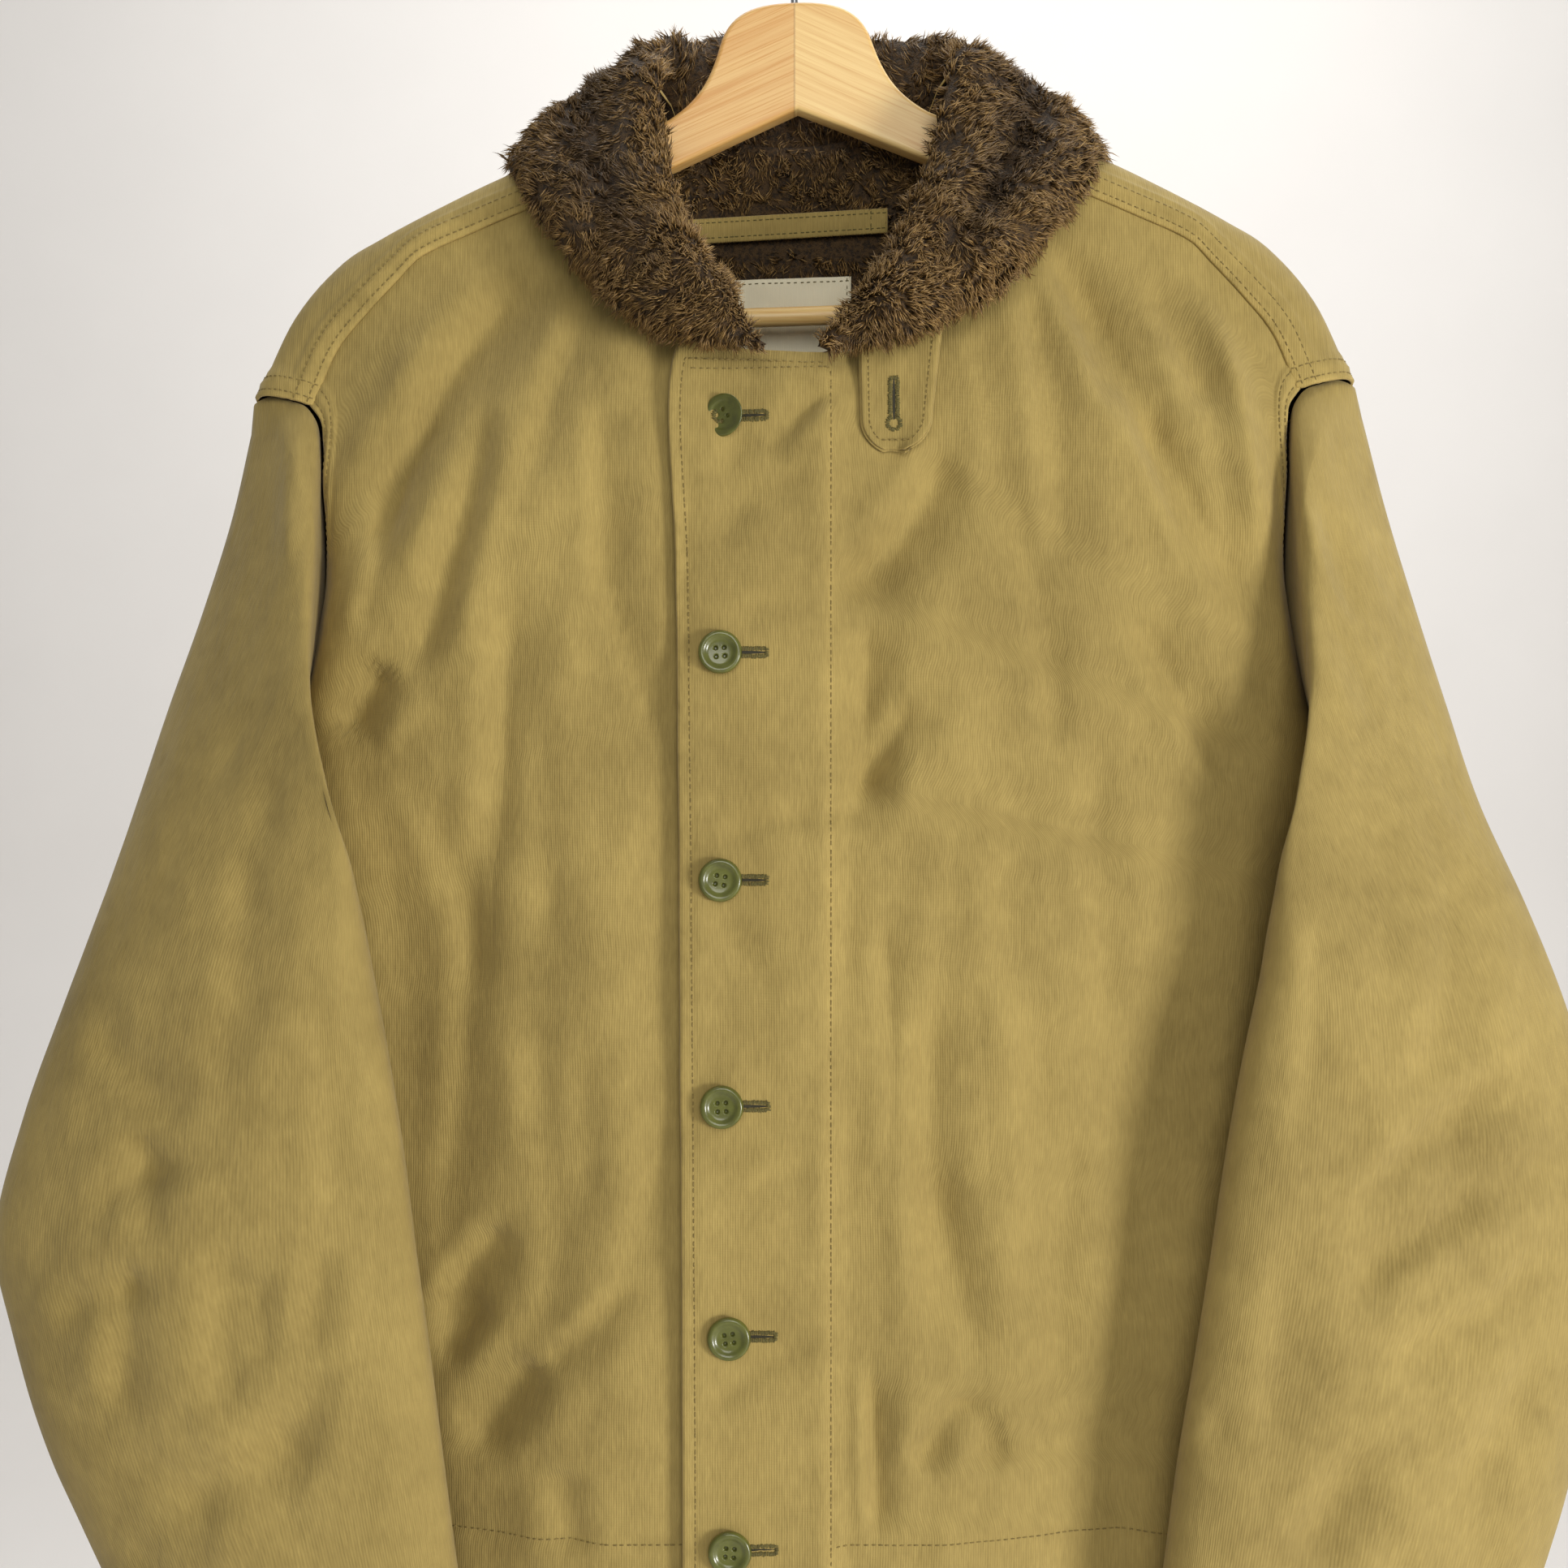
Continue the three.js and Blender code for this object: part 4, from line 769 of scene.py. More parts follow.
@lru_cache(maxsize=None)
def back_panel():
    """The whole back, its left half mirrored, with raised bands along the shoulders, armholes and sides."""
    u = spaced(190, [190], 12)
    arc = spaced(75, [0], 13)
    v = spaced(700, [700], 8)
    right, left = back_surface(1, u, arc, v), back_surface(-1, u, arc, v)
    points = np.concatenate([left[:, :0:-1], right], axis=1)
    hint = np.array([0.0, 1.0, 0.0])
    normals, _ = surface_normals(points, False, hint)
    out = np.abs(points[..., 0] - MIDDLE_X)
    side = np.minimum(run_along(points, 1), from_end(points, 1))
    shoulder = run_along(points, 0)
    on_shoulder = smooth((out[:1] - 70) / 5)
    rise = np.maximum(felled(side, 1.0), felled(shoulder, on_shoulder))
    rise -= 0.5 * np.exp(-(((points[..., 2] - HEM_SEAM_Z) / 1.3) ** 2))
    wear = np.maximum(seam_wear(side), seam_wear(shoulder) * on_shoulder)
    wear = wear + 0.7 * np.exp(-((from_end(points, 0) / 2) ** 2))
    lap = unit(points[0] - points[1]) * (1.3 * on_shoulder[0])[:, None]
    points = points + normals * rise[..., None]
    points[0] += lap
    down = run_along(points, 0)
    uv = np.stack([points[..., 0], -down], -1) * MM
    return panel(points, hint, uv=uv, wear=wear)


@lru_cache(maxsize=None)
def sleeve_panel(side):
    """A sleeve, tucked under the armhole band at its head and hemmed at its cuff."""
    v = spaced(620, [0, 620], 12)
    points = sleeve_surface(side, 98, v)
    hint = unit(points - points.mean(axis=1, keepdims=True))
    cuff = from_end(points, 0)
    normals, _ = surface_normals(points, True, hint)
    rise = -0.5 * stitch_grooves(cuff, [24.0])
    wear = 0.9 * np.exp(-((cuff / 2) ** 2))
    around = np.linspace(0, 1, points.shape[1] + 1)[None, :] * 400
    down = run_along(points, 0)
    down = np.hstack([down, down[:, :1]])
    uv = np.stack([around + 0 * down, -down], -1) * MM
    return panel(points + normals * rise[..., None], hint, uv=uv, round_way=True, wear=wear)


def back_inside(x, z, inward):
    """A face that follows the back from inside, a given way in from its outer face."""
    out = np.abs(x - MIDDLE_X)
    full = round_side(out, BACK_ROWS["outer_out"][1], BACK_ROWS["roll"][1])
    fall = NECK_BACK_DEPTH + (BACK_DEPTH - NECK_BACK_DEPTH) * smooth((BACK_FALL_Z - z) / BACK_FALL)
    return fall * full - inward


def back_patch(left, right, top_left, top_right, height, inward, step, corners=0.0):
    """A patch on the inside of the back, straight down, its top corners raised by a given height."""
    u = np.linspace(0, 1, int((right - left) / step) + 1)[None, :]
    v = np.linspace(0, 1, max(int(height / step), 4) + 1)[:, None]
    x = left + (right - left) * u + 0 * v
    raised = corners * (2 * u - 1) ** 2 * (1 - v)
    z = top_left + (top_right - top_left) * u - height * v + raised
    return np.stack([x, back_inside(x, z, inward), z], -1)


def collar_surface(pile, along, over, under):
    """The collar's roll: half an ellipse over each section and a flat arc back, inside by the pile's depth."""
    section = read_table(numbered(COLLAR), "step", np.linspace(0, len(COLLAR["in_x"]) - 1, along))

    def column(name):
        return np.stack([section[f"{name}_{axis}"] for axis in "xyz"], -1)[:, None, :]

    def shrink(way):
        reach = np.maximum(np.linalg.norm(way, axis=-1, keepdims=True), 1e-6)
        return np.maximum(1 - pile / reach, 0.3)

    inner, crest, outer = column("in"), column("top"), column("out")
    middle, half = (inner + outer) / 2, (inner - outer) / 2
    crest = crest - middle
    middle = middle + unit(half) * 0.4 * pile
    half, crest = half * shrink(half), crest * shrink(crest)
    a = np.linspace(0, np.pi, over)[None, :, None]
    # dip is the hollow along the crest: it lowers the arch and is also returned as the strength of the painted
    # shade on the pile.
    dip = np.exp(-(((a - np.pi / 2) / 0.4) ** 2)) * section["hollow"][:, None, None]
    arch = middle + half * np.cos(a) + crest * np.sin(a) * (1 - 0.36 * dip)
    b = np.linspace(np.pi, 0, under)[None, :, None]
    floor = middle + half * 0.84 * np.cos(b) + crest * (0.2 * np.sin(b) + 0.02)
    return arch, floor, dip[..., 0]


# Meshes and pieces

def fill_mesh(name, made):
    """A mesh from arrays: points in millimetres and faces of one size, with uv, slots and values if given."""
    mesh = bpy.data.meshes.new(name)
    points, faces = made["points"] * MM, made["faces"]
    sides = faces.shape[1]
    mesh.vertices.add(len(points))
    mesh.vertices.foreach_set("co", points.astype(np.float32).ravel())
    mesh.loops.add(faces.size)
    mesh.loops.foreach_set("vertex_index", faces.astype(np.int32).ravel())
    mesh.polygons.add(len(faces))
    mesh.polygons.foreach_set("loop_start", np.arange(0, faces.size, sides, dtype=np.int32))
    mesh.polygons.foreach_set("use_smooth", np.ones(len(faces), bool))
    if "slots" in made:
        mesh.polygons.foreach_set("material_index", made["slots"].astype(np.int32))
    if "uv" in made:
        layer = mesh.uv_layers.new(name="cloth")
        layer.data.foreach_set("uv", made["uv"].astype(np.float32).ravel())
    for label, values in made.get("values", {}).items():
        attribute = mesh.attributes.new(label, "FLOAT", "POINT")
        attribute.data.foreach_set("value", values.astype(np.float32).ravel())
    mesh.update()
    mesh.validate()
    return mesh


def add_piece(name, made, finishes, stands_for=()):
    """Puts a mesh in the scene with its finishes and its ride, and hides the solids that it stands for."""
    piece = bpy.data.objects.new(name, fill_mesh(name, made))
    bpy.context.scene.collection.objects.link(piece)
    for finish in finishes:
        piece.data.materials.append(finish)
    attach(piece, "root")
    if stands_for:
        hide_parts(*stands_for)
    return piece


def joined(parts):
    """Several meshes' arrays as one, with their numbers moved on."""
    starts = np.cumsum([0] + [len(p["points"]) for p in parts[:-1]])
    made = {"points": np.vstack([p["points"] for p in parts]),
            "faces": np.vstack([p["faces"] + s for p, s in zip(parts, starts)])}
    if "values" in parts[0]:
        made["values"] = {k: np.concatenate([p["values"][k] for p in parts]) for k in parts[0]["values"]}
    return made


# Stitching

def level_line(panel_made, field, level, axis):
    """Where a field passes a level on each grid line of one way, with the normals there."""
    points, normals = panel_made["points"], panel_made["normals"]
    if axis == 0:
        points, normals, field = points.swapaxes(0, 1), normals.swapaxes(0, 1), field.T
    if field[:, -1].mean() < field[:, 0].mean():
        field, level = -field, -level
    lines = np.arange(len(field))
    k = np.clip((field < level).sum(axis=1) - 1, 0, field.shape[1] - 2)
    low, high = field[lines, k], field[lines, k + 1]
    t = np.clip((level - low) / np.maximum(high - low, 1e-6), 0, 1)[:, None]
    mix = lambda grid: grid[lines, k] * (1 - t) + grid[lines, k + 1] * t
    return mix(points), unit(mix(normals))


def stitch_row(line, normals, length=None, pitch=None, radius=0.34, rise=0.12, seed=1):
    """Stitches along a line: each a four-sided spindle whose ends dip into the cloth, one at every pitch."""
    length, pitch = length or sizes().stitch, pitch or sizes().pitch
    run = np.concatenate([[0], np.cumsum(np.linalg.norm(np.diff(line, axis=0), axis=1))])
    count = max(int(run[-1] / pitch), 1)
    rng = np.random.default_rng(seed)
    centre = (np.arange(count) + 0.5) * run[-1] / count + rng.normal(0, 0.08, count) * pitch
    at = lambda s, grid: np.stack([np.interp(s, run, grid[:, k]) for k in range(3)], -1)
    along = unit(at(centre + length / 2, line) - at(centre - length / 2, line) + 1e-9)
    return spindles(at(centre, line), along, unit(at(centre, normals)), length, radius, rise, rng)


def spindles(centre, along, up, length, radius, rise, rng):
    """Four-sided spindles with closed ends, laid along given ways and raised in the middle."""
    across = unit(np.cross(along, up))
    count = len(centre)
    long = length * (1 + rng.normal(0, 0.06, count))[:, None, None, None]
    place = np.array([-0.5, -0.3, 0.3, 0.5])[None, :, None, None]
    girth = np.array([0.5, 1, 1, 0.5])[None, :, None, None] * radius
    lift = np.array([-0.25, rise, rise, -0.25])[None, :, None, None]
    turn = (np.arange(4) + 0.5)[None, None, :, None] * np.pi / 2
    centre, along, up, across = (v[:, None, None, :] for v in (centre, along, up, across))
    raised = up * (lift + girth * np.sin(turn))
    points = centre + along * place * long + raised + across * girth * np.cos(turn)
    ring = np.arange(4)
    nxt = (ring + 1) % 4
    wall = np.stack([ring, 4 + ring, 4 + nxt, nxt], -1)
    caps = [[0, 1, 2, 3], [15, 14, 13, 12]]
    one = np.vstack([wall, wall + 4, wall + 8, caps])
    corners = 16
    faces = (one[None] + corners * np.arange(count)[:, None, None]).reshape(-1, 4)
    return {"points": points.reshape(-1, 3), "faces": faces,
            "values": {"tone": np.repeat(rng.random(count), corners)}}


def kept(line, keep):
    """The part of a line of points and normals where a condition holds."""
    points, normals = line
    return points[keep], normals[keep]


def panel_place(panel_made, x, z):
    """Points and normals on a panel at given places, on the plane of the nearest grid point."""
    points, normals = panel_made["points"].reshape(-1, 3), panel_made["normals"].reshape(-1, 3)
    x, z = np.ravel(x), np.ravel(z)
    near = np.argmin((points[None, :, 0] - x[:, None]) ** 2 + (points[None, :, 2] - z[:, None]) ** 2, axis=1)
    p, n = points[near], normals[near]
    y = p[:, 1] - (n[:, 0] * (x - p[:, 0]) + n[:, 2] * (z - p[:, 2])) / np.minimum(n[:, 1], -0.2)
    return np.stack([x, y, z], -1), n


# Shader nodes

class Maker:
    """Adds nodes to a tree with short calls and joins them up."""

    def __init__(self, tree):
        self.tree = tree

    def add(self, kind, inputs=None, **settings):
        """A node with its settings, and its inputs given as values or as sockets to link."""
        node = self.tree.nodes.new(kind)
        for name, value in settings.items():
            setattr(node, name, value)
        for key, value in (inputs or {}).items():
            if isinstance(value, bpy.types.NodeSocket):
                self.tree.links.new(value, node.inputs[key])
            else:
                node.inputs[key].default_value = value
        return node

    def calc(self, operation, a, b=0.0, clamp=False):
        """One operation on two values."""
        return self.add("ShaderNodeMath", {0: a, 1: b}, operation=operation, use_clamp=clamp).outputs[0]

    def times(self, a, b, clamp=False):
        """Two values multiplied."""
        return self.calc("MULTIPLY", a, b, clamp)

    def plus(self, *values):
        """Values added up in their order."""
        total = values[0]
        for value in values[1:]:
            total = self.calc("ADD", total, value)
        return total

    def scale(self, vector, by):
        """A vector with each part multiplied."""
        return self.add("ShaderNodeVectorMath", {0: vector, 1: by}, operation="MULTIPLY").outputs[0]

    def noise(self, vector, scale, detail=2.0, rough=0.5):
        """Plain noise from 0 to 1."""
        inputs = {"Vector": vector, "Scale": scale, "Detail": detail, "Roughness": rough}
        return self.add("ShaderNodeTexNoise", inputs).outputs["Fac"]

    def spread(self, value, low, high):
        """A value brought from between two limits to between 0 and 1."""
        inputs = {"Value": value, "From Min": low, "From Max": high}
        return self.add("ShaderNodeMapRange", inputs).outputs["Result"]

    def blend(self, factor, a, b):
        """Two colours mixed."""
        mix = self.add("ShaderNodeMix", {"Factor": factor}, data_type="RGBA")
        for socket, value in ((mix.inputs[6], a), (mix.inputs[7], b)):
            if isinstance(value, bpy.types.NodeSocket):
                self.tree.links.new(value, socket)
            else:
                socket.default_value = value
        return mix.outputs[2]


def new_group(name, inputs, outputs):
    """An empty shader group with named sockets, its maker, its entry and its exit."""
    tree = bpy.data.node_groups.new(name, "ShaderNodeTree")
    for label, kind, value in inputs:
        socket = tree.interface.new_socket(name=label, in_out="INPUT", socket_type=kind)
        socket.default_value = value
    for label, kind in outputs:
        tree.interface.new_socket(name=label, in_out="OUTPUT", socket_type=kind)
    make = Maker(tree)
    return tree, make, make.add("NodeGroupInput"), make.add("NodeGroupOutput")


def finish_group(make, leave, **results):
    """Joins results to a group's exit by name."""
    for label, socket in results.items():
        make.tree.links.new(socket, leave.inputs[label.capitalize()])


COLOUR, VALUE = "NodeSocketColor", "NodeSocketFloat"
GREY = (0.5, 0.5, 0.5, 1.0)


def ribbed_cotton():
    """Upright ribs from a sine across the cloth, uneven yarns, soft patches and worn, paler seams."""
    tree, make, enter, leave = new_group(
        "ribbed_cotton",
        [("Light", COLOUR, GREY), ("Deep", COLOUR, GREY), ("Ribs per metre", VALUE, 850.0), ("Worn", VALUE, 0.5)],
        [("Color", COLOUR), ("Height", VALUE)])
    times, plus = make.times, make.plus
    cloth = make.add("ShaderNodeUVMap", uv_map="cloth").outputs["UV"]
    place = make.add("ShaderNodeTexCoord").outputs["Object"]
    across = make.add("ShaderNodeSeparateXYZ", {0: cloth}).outputs["X"]
    rib = make.calc("SINE", times(times(across, enter.outputs["Ribs per metre"]), 6.2832))
    yarn = make.noise(make.scale(cloth, (900.0, 110.0, 1.0)), 1.0, 2.0)
    weft = make.noise(make.scale(cloth, (160.0, 1500.0, 1.0)), 1.0, 1.0)
    patch = make.noise(place, 11.0, 4.0, 0.6)
    mottle = make.noise(place, 75.0, 3.0, 0.6)
    tone = plus(times(patch, 1.1), times(yarn, 0.75), times(mottle, 0.5), times(rib, 0.05))
    body = make.blend(make.spread(tone, 0.75, 1.6), enter.outputs["Deep"], enter.outputs["Light"])
    wear = make.add("ShaderNodeAttribute", attribute_name="wear").outputs["Fac"]
    rubbed = times(times(wear, enter.outputs["Worn"]), make.spread(mottle, 0.3, 0.6), True)
    made = make.blend(rubbed, body, make.scale(enter.outputs["Light"], (1.3, 1.28, 1.3)))
    crease = make.noise(make.scale(place, (30.0, 30.0, 14.0)), 1.0, 4.0, 0.55)
    long = make.noise(make.scale(place, (11.0, 11.0, 3.2)), 1.0, 0.6, 0.4)
    valley = make.spread(make.calc("ABSOLUTE", make.calc("SUBTRACT", long, 0.5)), 0.07, 0.0)
    some = make.spread(make.noise(place, 8.0, 1.0), 0.42, 0.62)
    high = plus(times(rib, 0.035), times(yarn, 0.11), times(weft, 0.05), times(crease, 2.6))
    high = make.calc("SUBTRACT", high, times(times(valley, some), 1.1))
    finish_group(make, leave, color=made, height=high)
    return tree


def curly_pile():
    """Dark at the foot, warm in the middle and pale at some tips, in soft light and dark patches, with painted
    shade in the collar's hollows and in the gaps between curls.
    """
    tree, make, enter, leave = new_group(
        "curly_pile",
        [("Root", COLOUR, GREY), ("Middle", COLOUR, GREY), ("Tip", COLOUR, GREY)],
        [("Color", COLOUR), ("Height", VALUE)])
    times, plus = make.times, make.plus
    place = make.add("ShaderNodeTexCoord").outputs["Object"]
    along = make.add("ShaderNodeAttribute", attribute_name="along").outputs["Fac"]
    tone = make.add("ShaderNodeAttribute", attribute_name="tone").outputs["Fac"]
    shade = make.add("ShaderNodeAttribute", attribute_name="shade").outputs["Fac"]
    patch = make.spread(make.noise(place, 26.0, 3.0, 0.6), 0.36, 0.64)
    rise = times(make.spread(along, 0.0, 0.55), plus(times(tone, 0.6), 0.4))
    rise = times(rise, plus(times(patch, 0.35), 0.65))
    body = make.blend(rise, enter.outputs["Root"], enter.outputs["Middle"])
    late = times(make.spread(along, 0.4, 0.9), make.spread(tone, 0.35, 0.95))
    made = make.blend(times(late, 0.6), body, enter.outputs["Tip"])
    # Painted shade: pile in the collar's hollows blended towards the root tone.
    made = make.blend(times(shade, 0.85, True), made, enter.outputs["Root"])
    curl = make.noise(place, 420.0, 3.0, 0.7)
    # Painted shade: near-black in the gaps between curls, strongest towards the foot of the pile.
    painted_gap_shade = times(make.spread(curl, 0.56, 0.4), make.spread(along, 0.5, 0.1))
    made = make.blend(times(painted_gap_shade, 0.85, True), made, (0.012, 0.007, 0.003, 1.0))
    finish_group(make, leave, color=made, height=times(curl, 3.0))
    return tree


def straight_grain():
    """Wood grain: noise drawn out along the grain, turned by X's sign where two halves meet in a mitre."""
    tree, make, enter, leave = new_group(
        "straight_grain",
        [("Light", COLOUR, GREY), ("Deep", COLOUR, GREY), ("Slope", VALUE, 0.42), ("Mitre", VALUE, 1.0)],
        [("Color", COLOUR), ("Height", VALUE), ("Roughness", VALUE)])
    times, plus = make.times, make.plus
    place = make.add("ShaderNodeTexCoord").outputs["Object"]
    split = make.add("ShaderNodeSeparateXYZ", {0: place})
    x, y, z = (split.outputs[k] for k in "XYZ")
    side = times(make.calc("SIGN", x), enter.outputs["Mitre"])
    away = plus(times(make.calc("ABSOLUTE", x), enter.outputs["Slope"]), z)
    across = plus(away, times(side, 0.9))

    def drawn_out(along, over, deep):
        inputs = {0: times(x, along), 1: times(across, over), 2: times(y, deep)}
        return make.add("ShaderNodeCombineXYZ", inputs).outputs[0]

    broad = make.noise(drawn_out(5.0, 210.0, 60.0), 1.0, 3.0, 0.6)
    pores = make.noise(drawn_out(22.0, 1100.0, 300.0), 1.0, 2.0, 0.6)
    tone = plus(make.spread(broad, 0.4, 0.95), times(make.spread(pores, 0.5, 0.75), 0.6))
    # The half left of the mitre is blended towards the deep tone: partly a tint between the two woods, partly
    # painted shade from the light on the right.
    half = times(make.spread(side, 0.5, -0.5), 0.45)
    body = make.blend(make.calc("ADD", tone, half, True), enter.outputs["Light"], enter.outputs["Deep"])
    glue = times(make.spread(make.calc("ABSOLUTE", x), 0.0007, 0.0), enter.outputs["Mitre"])
    made = make.blend(times(glue, 0.45), body, (0.25, 0.12, 0.04, 1))
    rough = plus(times(pores, 0.2), 0.32)
    finish_group(make, leave, color=made, height=times(pores, -0.06), roughness=rough)
    return tree


def cloudy_tone():
    """A colour varied by soft clouds and fine specks, with the specks as height."""
    tree, make, enter, leave = new_group(
        "cloudy_tone",
        [("Light", COLOUR, GREY), ("Deep", COLOUR, GREY), ("Clouds", VALUE, 200.0), ("Specks", VALUE, 1500.0)],
        [("Color", COLOUR), ("Height", VALUE), ("Roughness", VALUE)])
    times = make.times
    place = make.add("ShaderNodeTexCoord").outputs["Object"]
    tone = make.add("ShaderNodeAttribute", attribute_name="tone").outputs["Fac"]
    clouds = make.noise(place, enter.outputs["Clouds"], 3.0, 0.6)
    specks = make.noise(place, enter.outputs["Specks"], 2.0, 0.6)
    share = make.calc("ADD", make.spread(clouds, 0.3, 0.7), times(tone, 0.35), True)
    made = make.blend(share, enter.outputs["Deep"], enter.outputs["Light"])
    rough = make.plus(times(specks, 0.25), 0.12)
    finish_group(make, leave, color=made, height=times(specks, 0.1), roughness=rough)
    return tree


GROUP_MAKERS = {"ribbed_cotton": ribbed_cotton, "curly_pile": curly_pile,
                "straight_grain": straight_grain, "cloudy_tone": cloudy_tone}


def rgba(values, by=1.0):
    """A colour property with full cover, made lighter or darker by a factor."""
    return tuple(min(v * by, 1.0) for v in values) + (1.0,)


def finish(name, group_name, values, bump=1.0, rough_from_group=False, **shader):
    """A material: a shared group feeds the colour and bump of a shader that holds its own constants."""
    if name in bpy.data.materials:
        return bpy.data.materials[name]
    tree = bpy.data.node_groups.get(group_name) or GROUP_MAKERS[group_name]()
    material = bpy.data.materials.new(name)
    material.use_nodes = True
    make = Maker(material.node_tree)
    principled = material.node_tree.nodes["Principled BSDF"]
    group = make.add("ShaderNodeGroup", node_tree=tree)
    for label, value in values.items():
        group.inputs[label].default_value = value
    links = material.node_tree.links
    links.new(group.outputs["Color"], principled.inputs["Base Color"])
    if rough_from_group:
        links.new(group.outputs["Roughness"], principled.inputs["Roughness"])
    if bump > 0:
        inputs = {"Strength": 1.0, "Distance": bump * MM, "Height": group.outputs["Height"]}
        relief = make.add("ShaderNodeBump", inputs)
        links.new(relief.outputs["Normal"], principled.inputs["Normal"])
    for label, value in shader.items():
        principled.inputs[label.replace("_", " ").title()].default_value = value
    return material


def cotton():
    """The outer cloth."""
    c = colours()
    return finish("cotton_cloth", "ribbed_cotton", {"Light": rgba(c.cotton), "Deep": rgba(c.cotton_deep)},
                  roughness=0.82, sheen_weight=0.12, sheen_roughness=0.5)


def pile_tones():
    """The pile's three tones, from its foot to its tips."""
    c = colours()
    return {"Root": rgba(c.pile_root), "Middle": rgba(c.pile_middle), "Tip": rgba(c.pile_tip)}


def pile_finish():
    """The brown pile of the collar and the lining."""
    return finish("brown_pile", "curly_pile", pile_tones(), roughness=0.8)


def strand_finish():
    """The same pile on single strands, without bump."""
    return finish("pile_strands", "curly_pile", pile_tones(), bump=0, roughness=0.5)


def thread(name, tone, bump=1.0):
    """Sewing thread: one tone, varied from stitch to stitch."""
    values = {"Light": rgba(tone, 1.25), "Deep": rgba(tone, 0.7), "Clouds": 900.0, "Specks": 4000.0}
    return finish(name, "cloudy_tone", values, bump=bump, roughness=0.7)


def wood(name, slope, mitre, by=1.0):
    """Varnished pale wood."""
    c = colours()
    values = {"Light": rgba(c.wood, by), "Deep": rgba(c.wood_deep, by), "Slope": slope, "Mitre": mitre}
    return finish(name, "straight_grain", values, rough_from_group=True, coat_weight=0.25, coat_roughness=0.25)


# Pile strands

def scattered(points, normals, flow, extra, count, rng):
    """Places spread evenly by area over a grid, with the normal, flow and extra value there."""
    a, b, c = points[:-1, :-1], points[:-1, 1:], points[1:, :-1]
    area = np.linalg.norm(np.cross(b - a, c - a), axis=-1).ravel()
    total = np.cumsum(area)
    cell = np.searchsorted(total, rng.random(count) * total[-1])
    r, s = np.divmod(cell, points.shape[1] - 1)
    u, v = rng.random((2, count, 1))

    def mix(grid):
        near = grid[r, s] * (1 - u) + grid[r, s + 1] * u
        far = grid[r + 1, s] * (1 - u) + grid[r + 1, s + 1] * u
        return near * (1 - v) + far * v

    return mix(points), unit(mix(normals)), unit(mix(flow)), mix(extra[..., None])[:, 0]


def pile_strands(points, normals, flow, shade, count, length, girth, seed, clear=()):
    """Curled, tapered three-sided strands that lean together in clumps.

    A strand's middle line is its root, plus its direction times the way along, plus a bend that grows with
    the square of that way and a small turning curl, drawn towards the middle line of the nearest clump.
    None grow in the boxes of clear, each left, right, low and high.
    """
    rng = np.random.default_rng(seed)
    root, up, lie, dark = scattered(points, normals, flow, shade, count, rng)
    if clear:
        x, z = root[:, 0], root[:, 2]
        inside = [(x > x0) & (x < x1) & (z > z0) & (z < z1) for x0, x1, z0, z1 in clear]
        keep = ~np.any(inside, axis=0)
        root, up, lie, dark = root[keep], up[keep], lie[keep], dark[keep]
        count = len(root)
    clumps = max(count // 9, 1)
    heart, heart_up, heart_lie, _ = scattered(points, normals, flow, shade, clumps, rng)
    sway = np.stack([uneven(heart[:, 0], heart[:, 2], 30, seed + k) for k in range(3)], -1)
    lean = unit(0.42 * heart_up + 0.5 * heart_lie + 0.55 * sway + rng.normal(0, 0.3, (clumps, 3)))
    lean = unit(lean + heart_up * np.maximum(0.3 - np.sum(lean * heart_up, -1, keepdims=True), 0))
    reach = length * (0.75 + 0.4 * rng.random((clumps, 1)))
    gap = (root**2).sum(1)[:, None] + (heart**2).sum(1)[None] - 2 * root @ heart.T
    mine = np.argmin(gap, axis=1)
    way = unit(lean[mine] + rng.normal(0, 0.24, (count, 3)))
    long = reach[mine] * (0.65 + 0.5 * rng.random((count, 1)))
    side = unit(np.cross(way, rng.normal(0, 1, (count, 3))))
    other = np.cross(way, side)
    aside, askew = rng.normal(0, 0.3, (count, 1)), rng.normal(0, 0.3, (count, 1))
    bend = long * (side * aside + other * askew + 0.3 * lie) - 0.2 * long * up
    phase = 2 * np.pi * rng.random((count, 1, 1))
    s = np.array([0, 0.52, 1.0])[None, :, None]
    side, other = side[:, None], other[:, None]
    line = (root - 0.8 * up)[:, None] + (way * long)[:, None] * s + bend[:, None] * s**2
    curl = 0.7 * s * (side * np.cos(phase + 5 * s) + other * np.sin(phase + 5 * s))
    axis = heart[mine][:, None] + (lean[mine] * reach[mine])[:, None] * s
    line = line + curl + 0.45 * s**1.3 * (axis - line)
    thick = girth * (0.7 + 0.6 * rng.random((count, 1, 1)))
    taper = np.array([1.0, 0.95])[None, :, None]
    angle = 2 * np.pi * np.arange(3) / 3
    rings = [line[:, :2] + thick * taper * (side * np.cos(a) + other * np.sin(a)) for a in angle]
    body = np.stack(rings, 2).reshape(count, 6, 3)
    vertices = np.concatenate([body, line[:, 2:]], axis=1)
    ring, nxt = np.arange(3), (np.arange(3) + 1) % 3
    root_face = np.array([[2, 1, 0]])
    walls = [np.stack([ring, nxt, nxt + 3], -1), np.stack([ring, nxt + 3, ring + 3], -1)]
    point = np.stack([ring + 3, nxt + 3, np.full(3, 6)], -1)
    one = np.vstack([root_face, *walls, point])
    corners = vertices.shape[1]
    all_faces = (one[None] + corners * np.arange(count)[:, None, None]).reshape(-1, 3)
    along = np.concatenate([np.repeat(s[0, :2, 0], 3), [1.0]])
    values = {"along": np.tile(along, count), "tone": np.repeat(rng.random(count), corners),
              "shade": np.repeat(dark, corners)}
    return {"points": vertices.reshape(-1, 3), "faces": all_faces, "values": values}


def base_values(count, shade=None):
    """The values that the pile's finish reads, for a plain base under the strands."""
    dark = np.zeros(count) if shade is None else shade
    return {"along": np.full(count, 0.12), "tone": np.full(count, 0.5), "shade": dark}


# Operators, one for each piece or group of like pieces

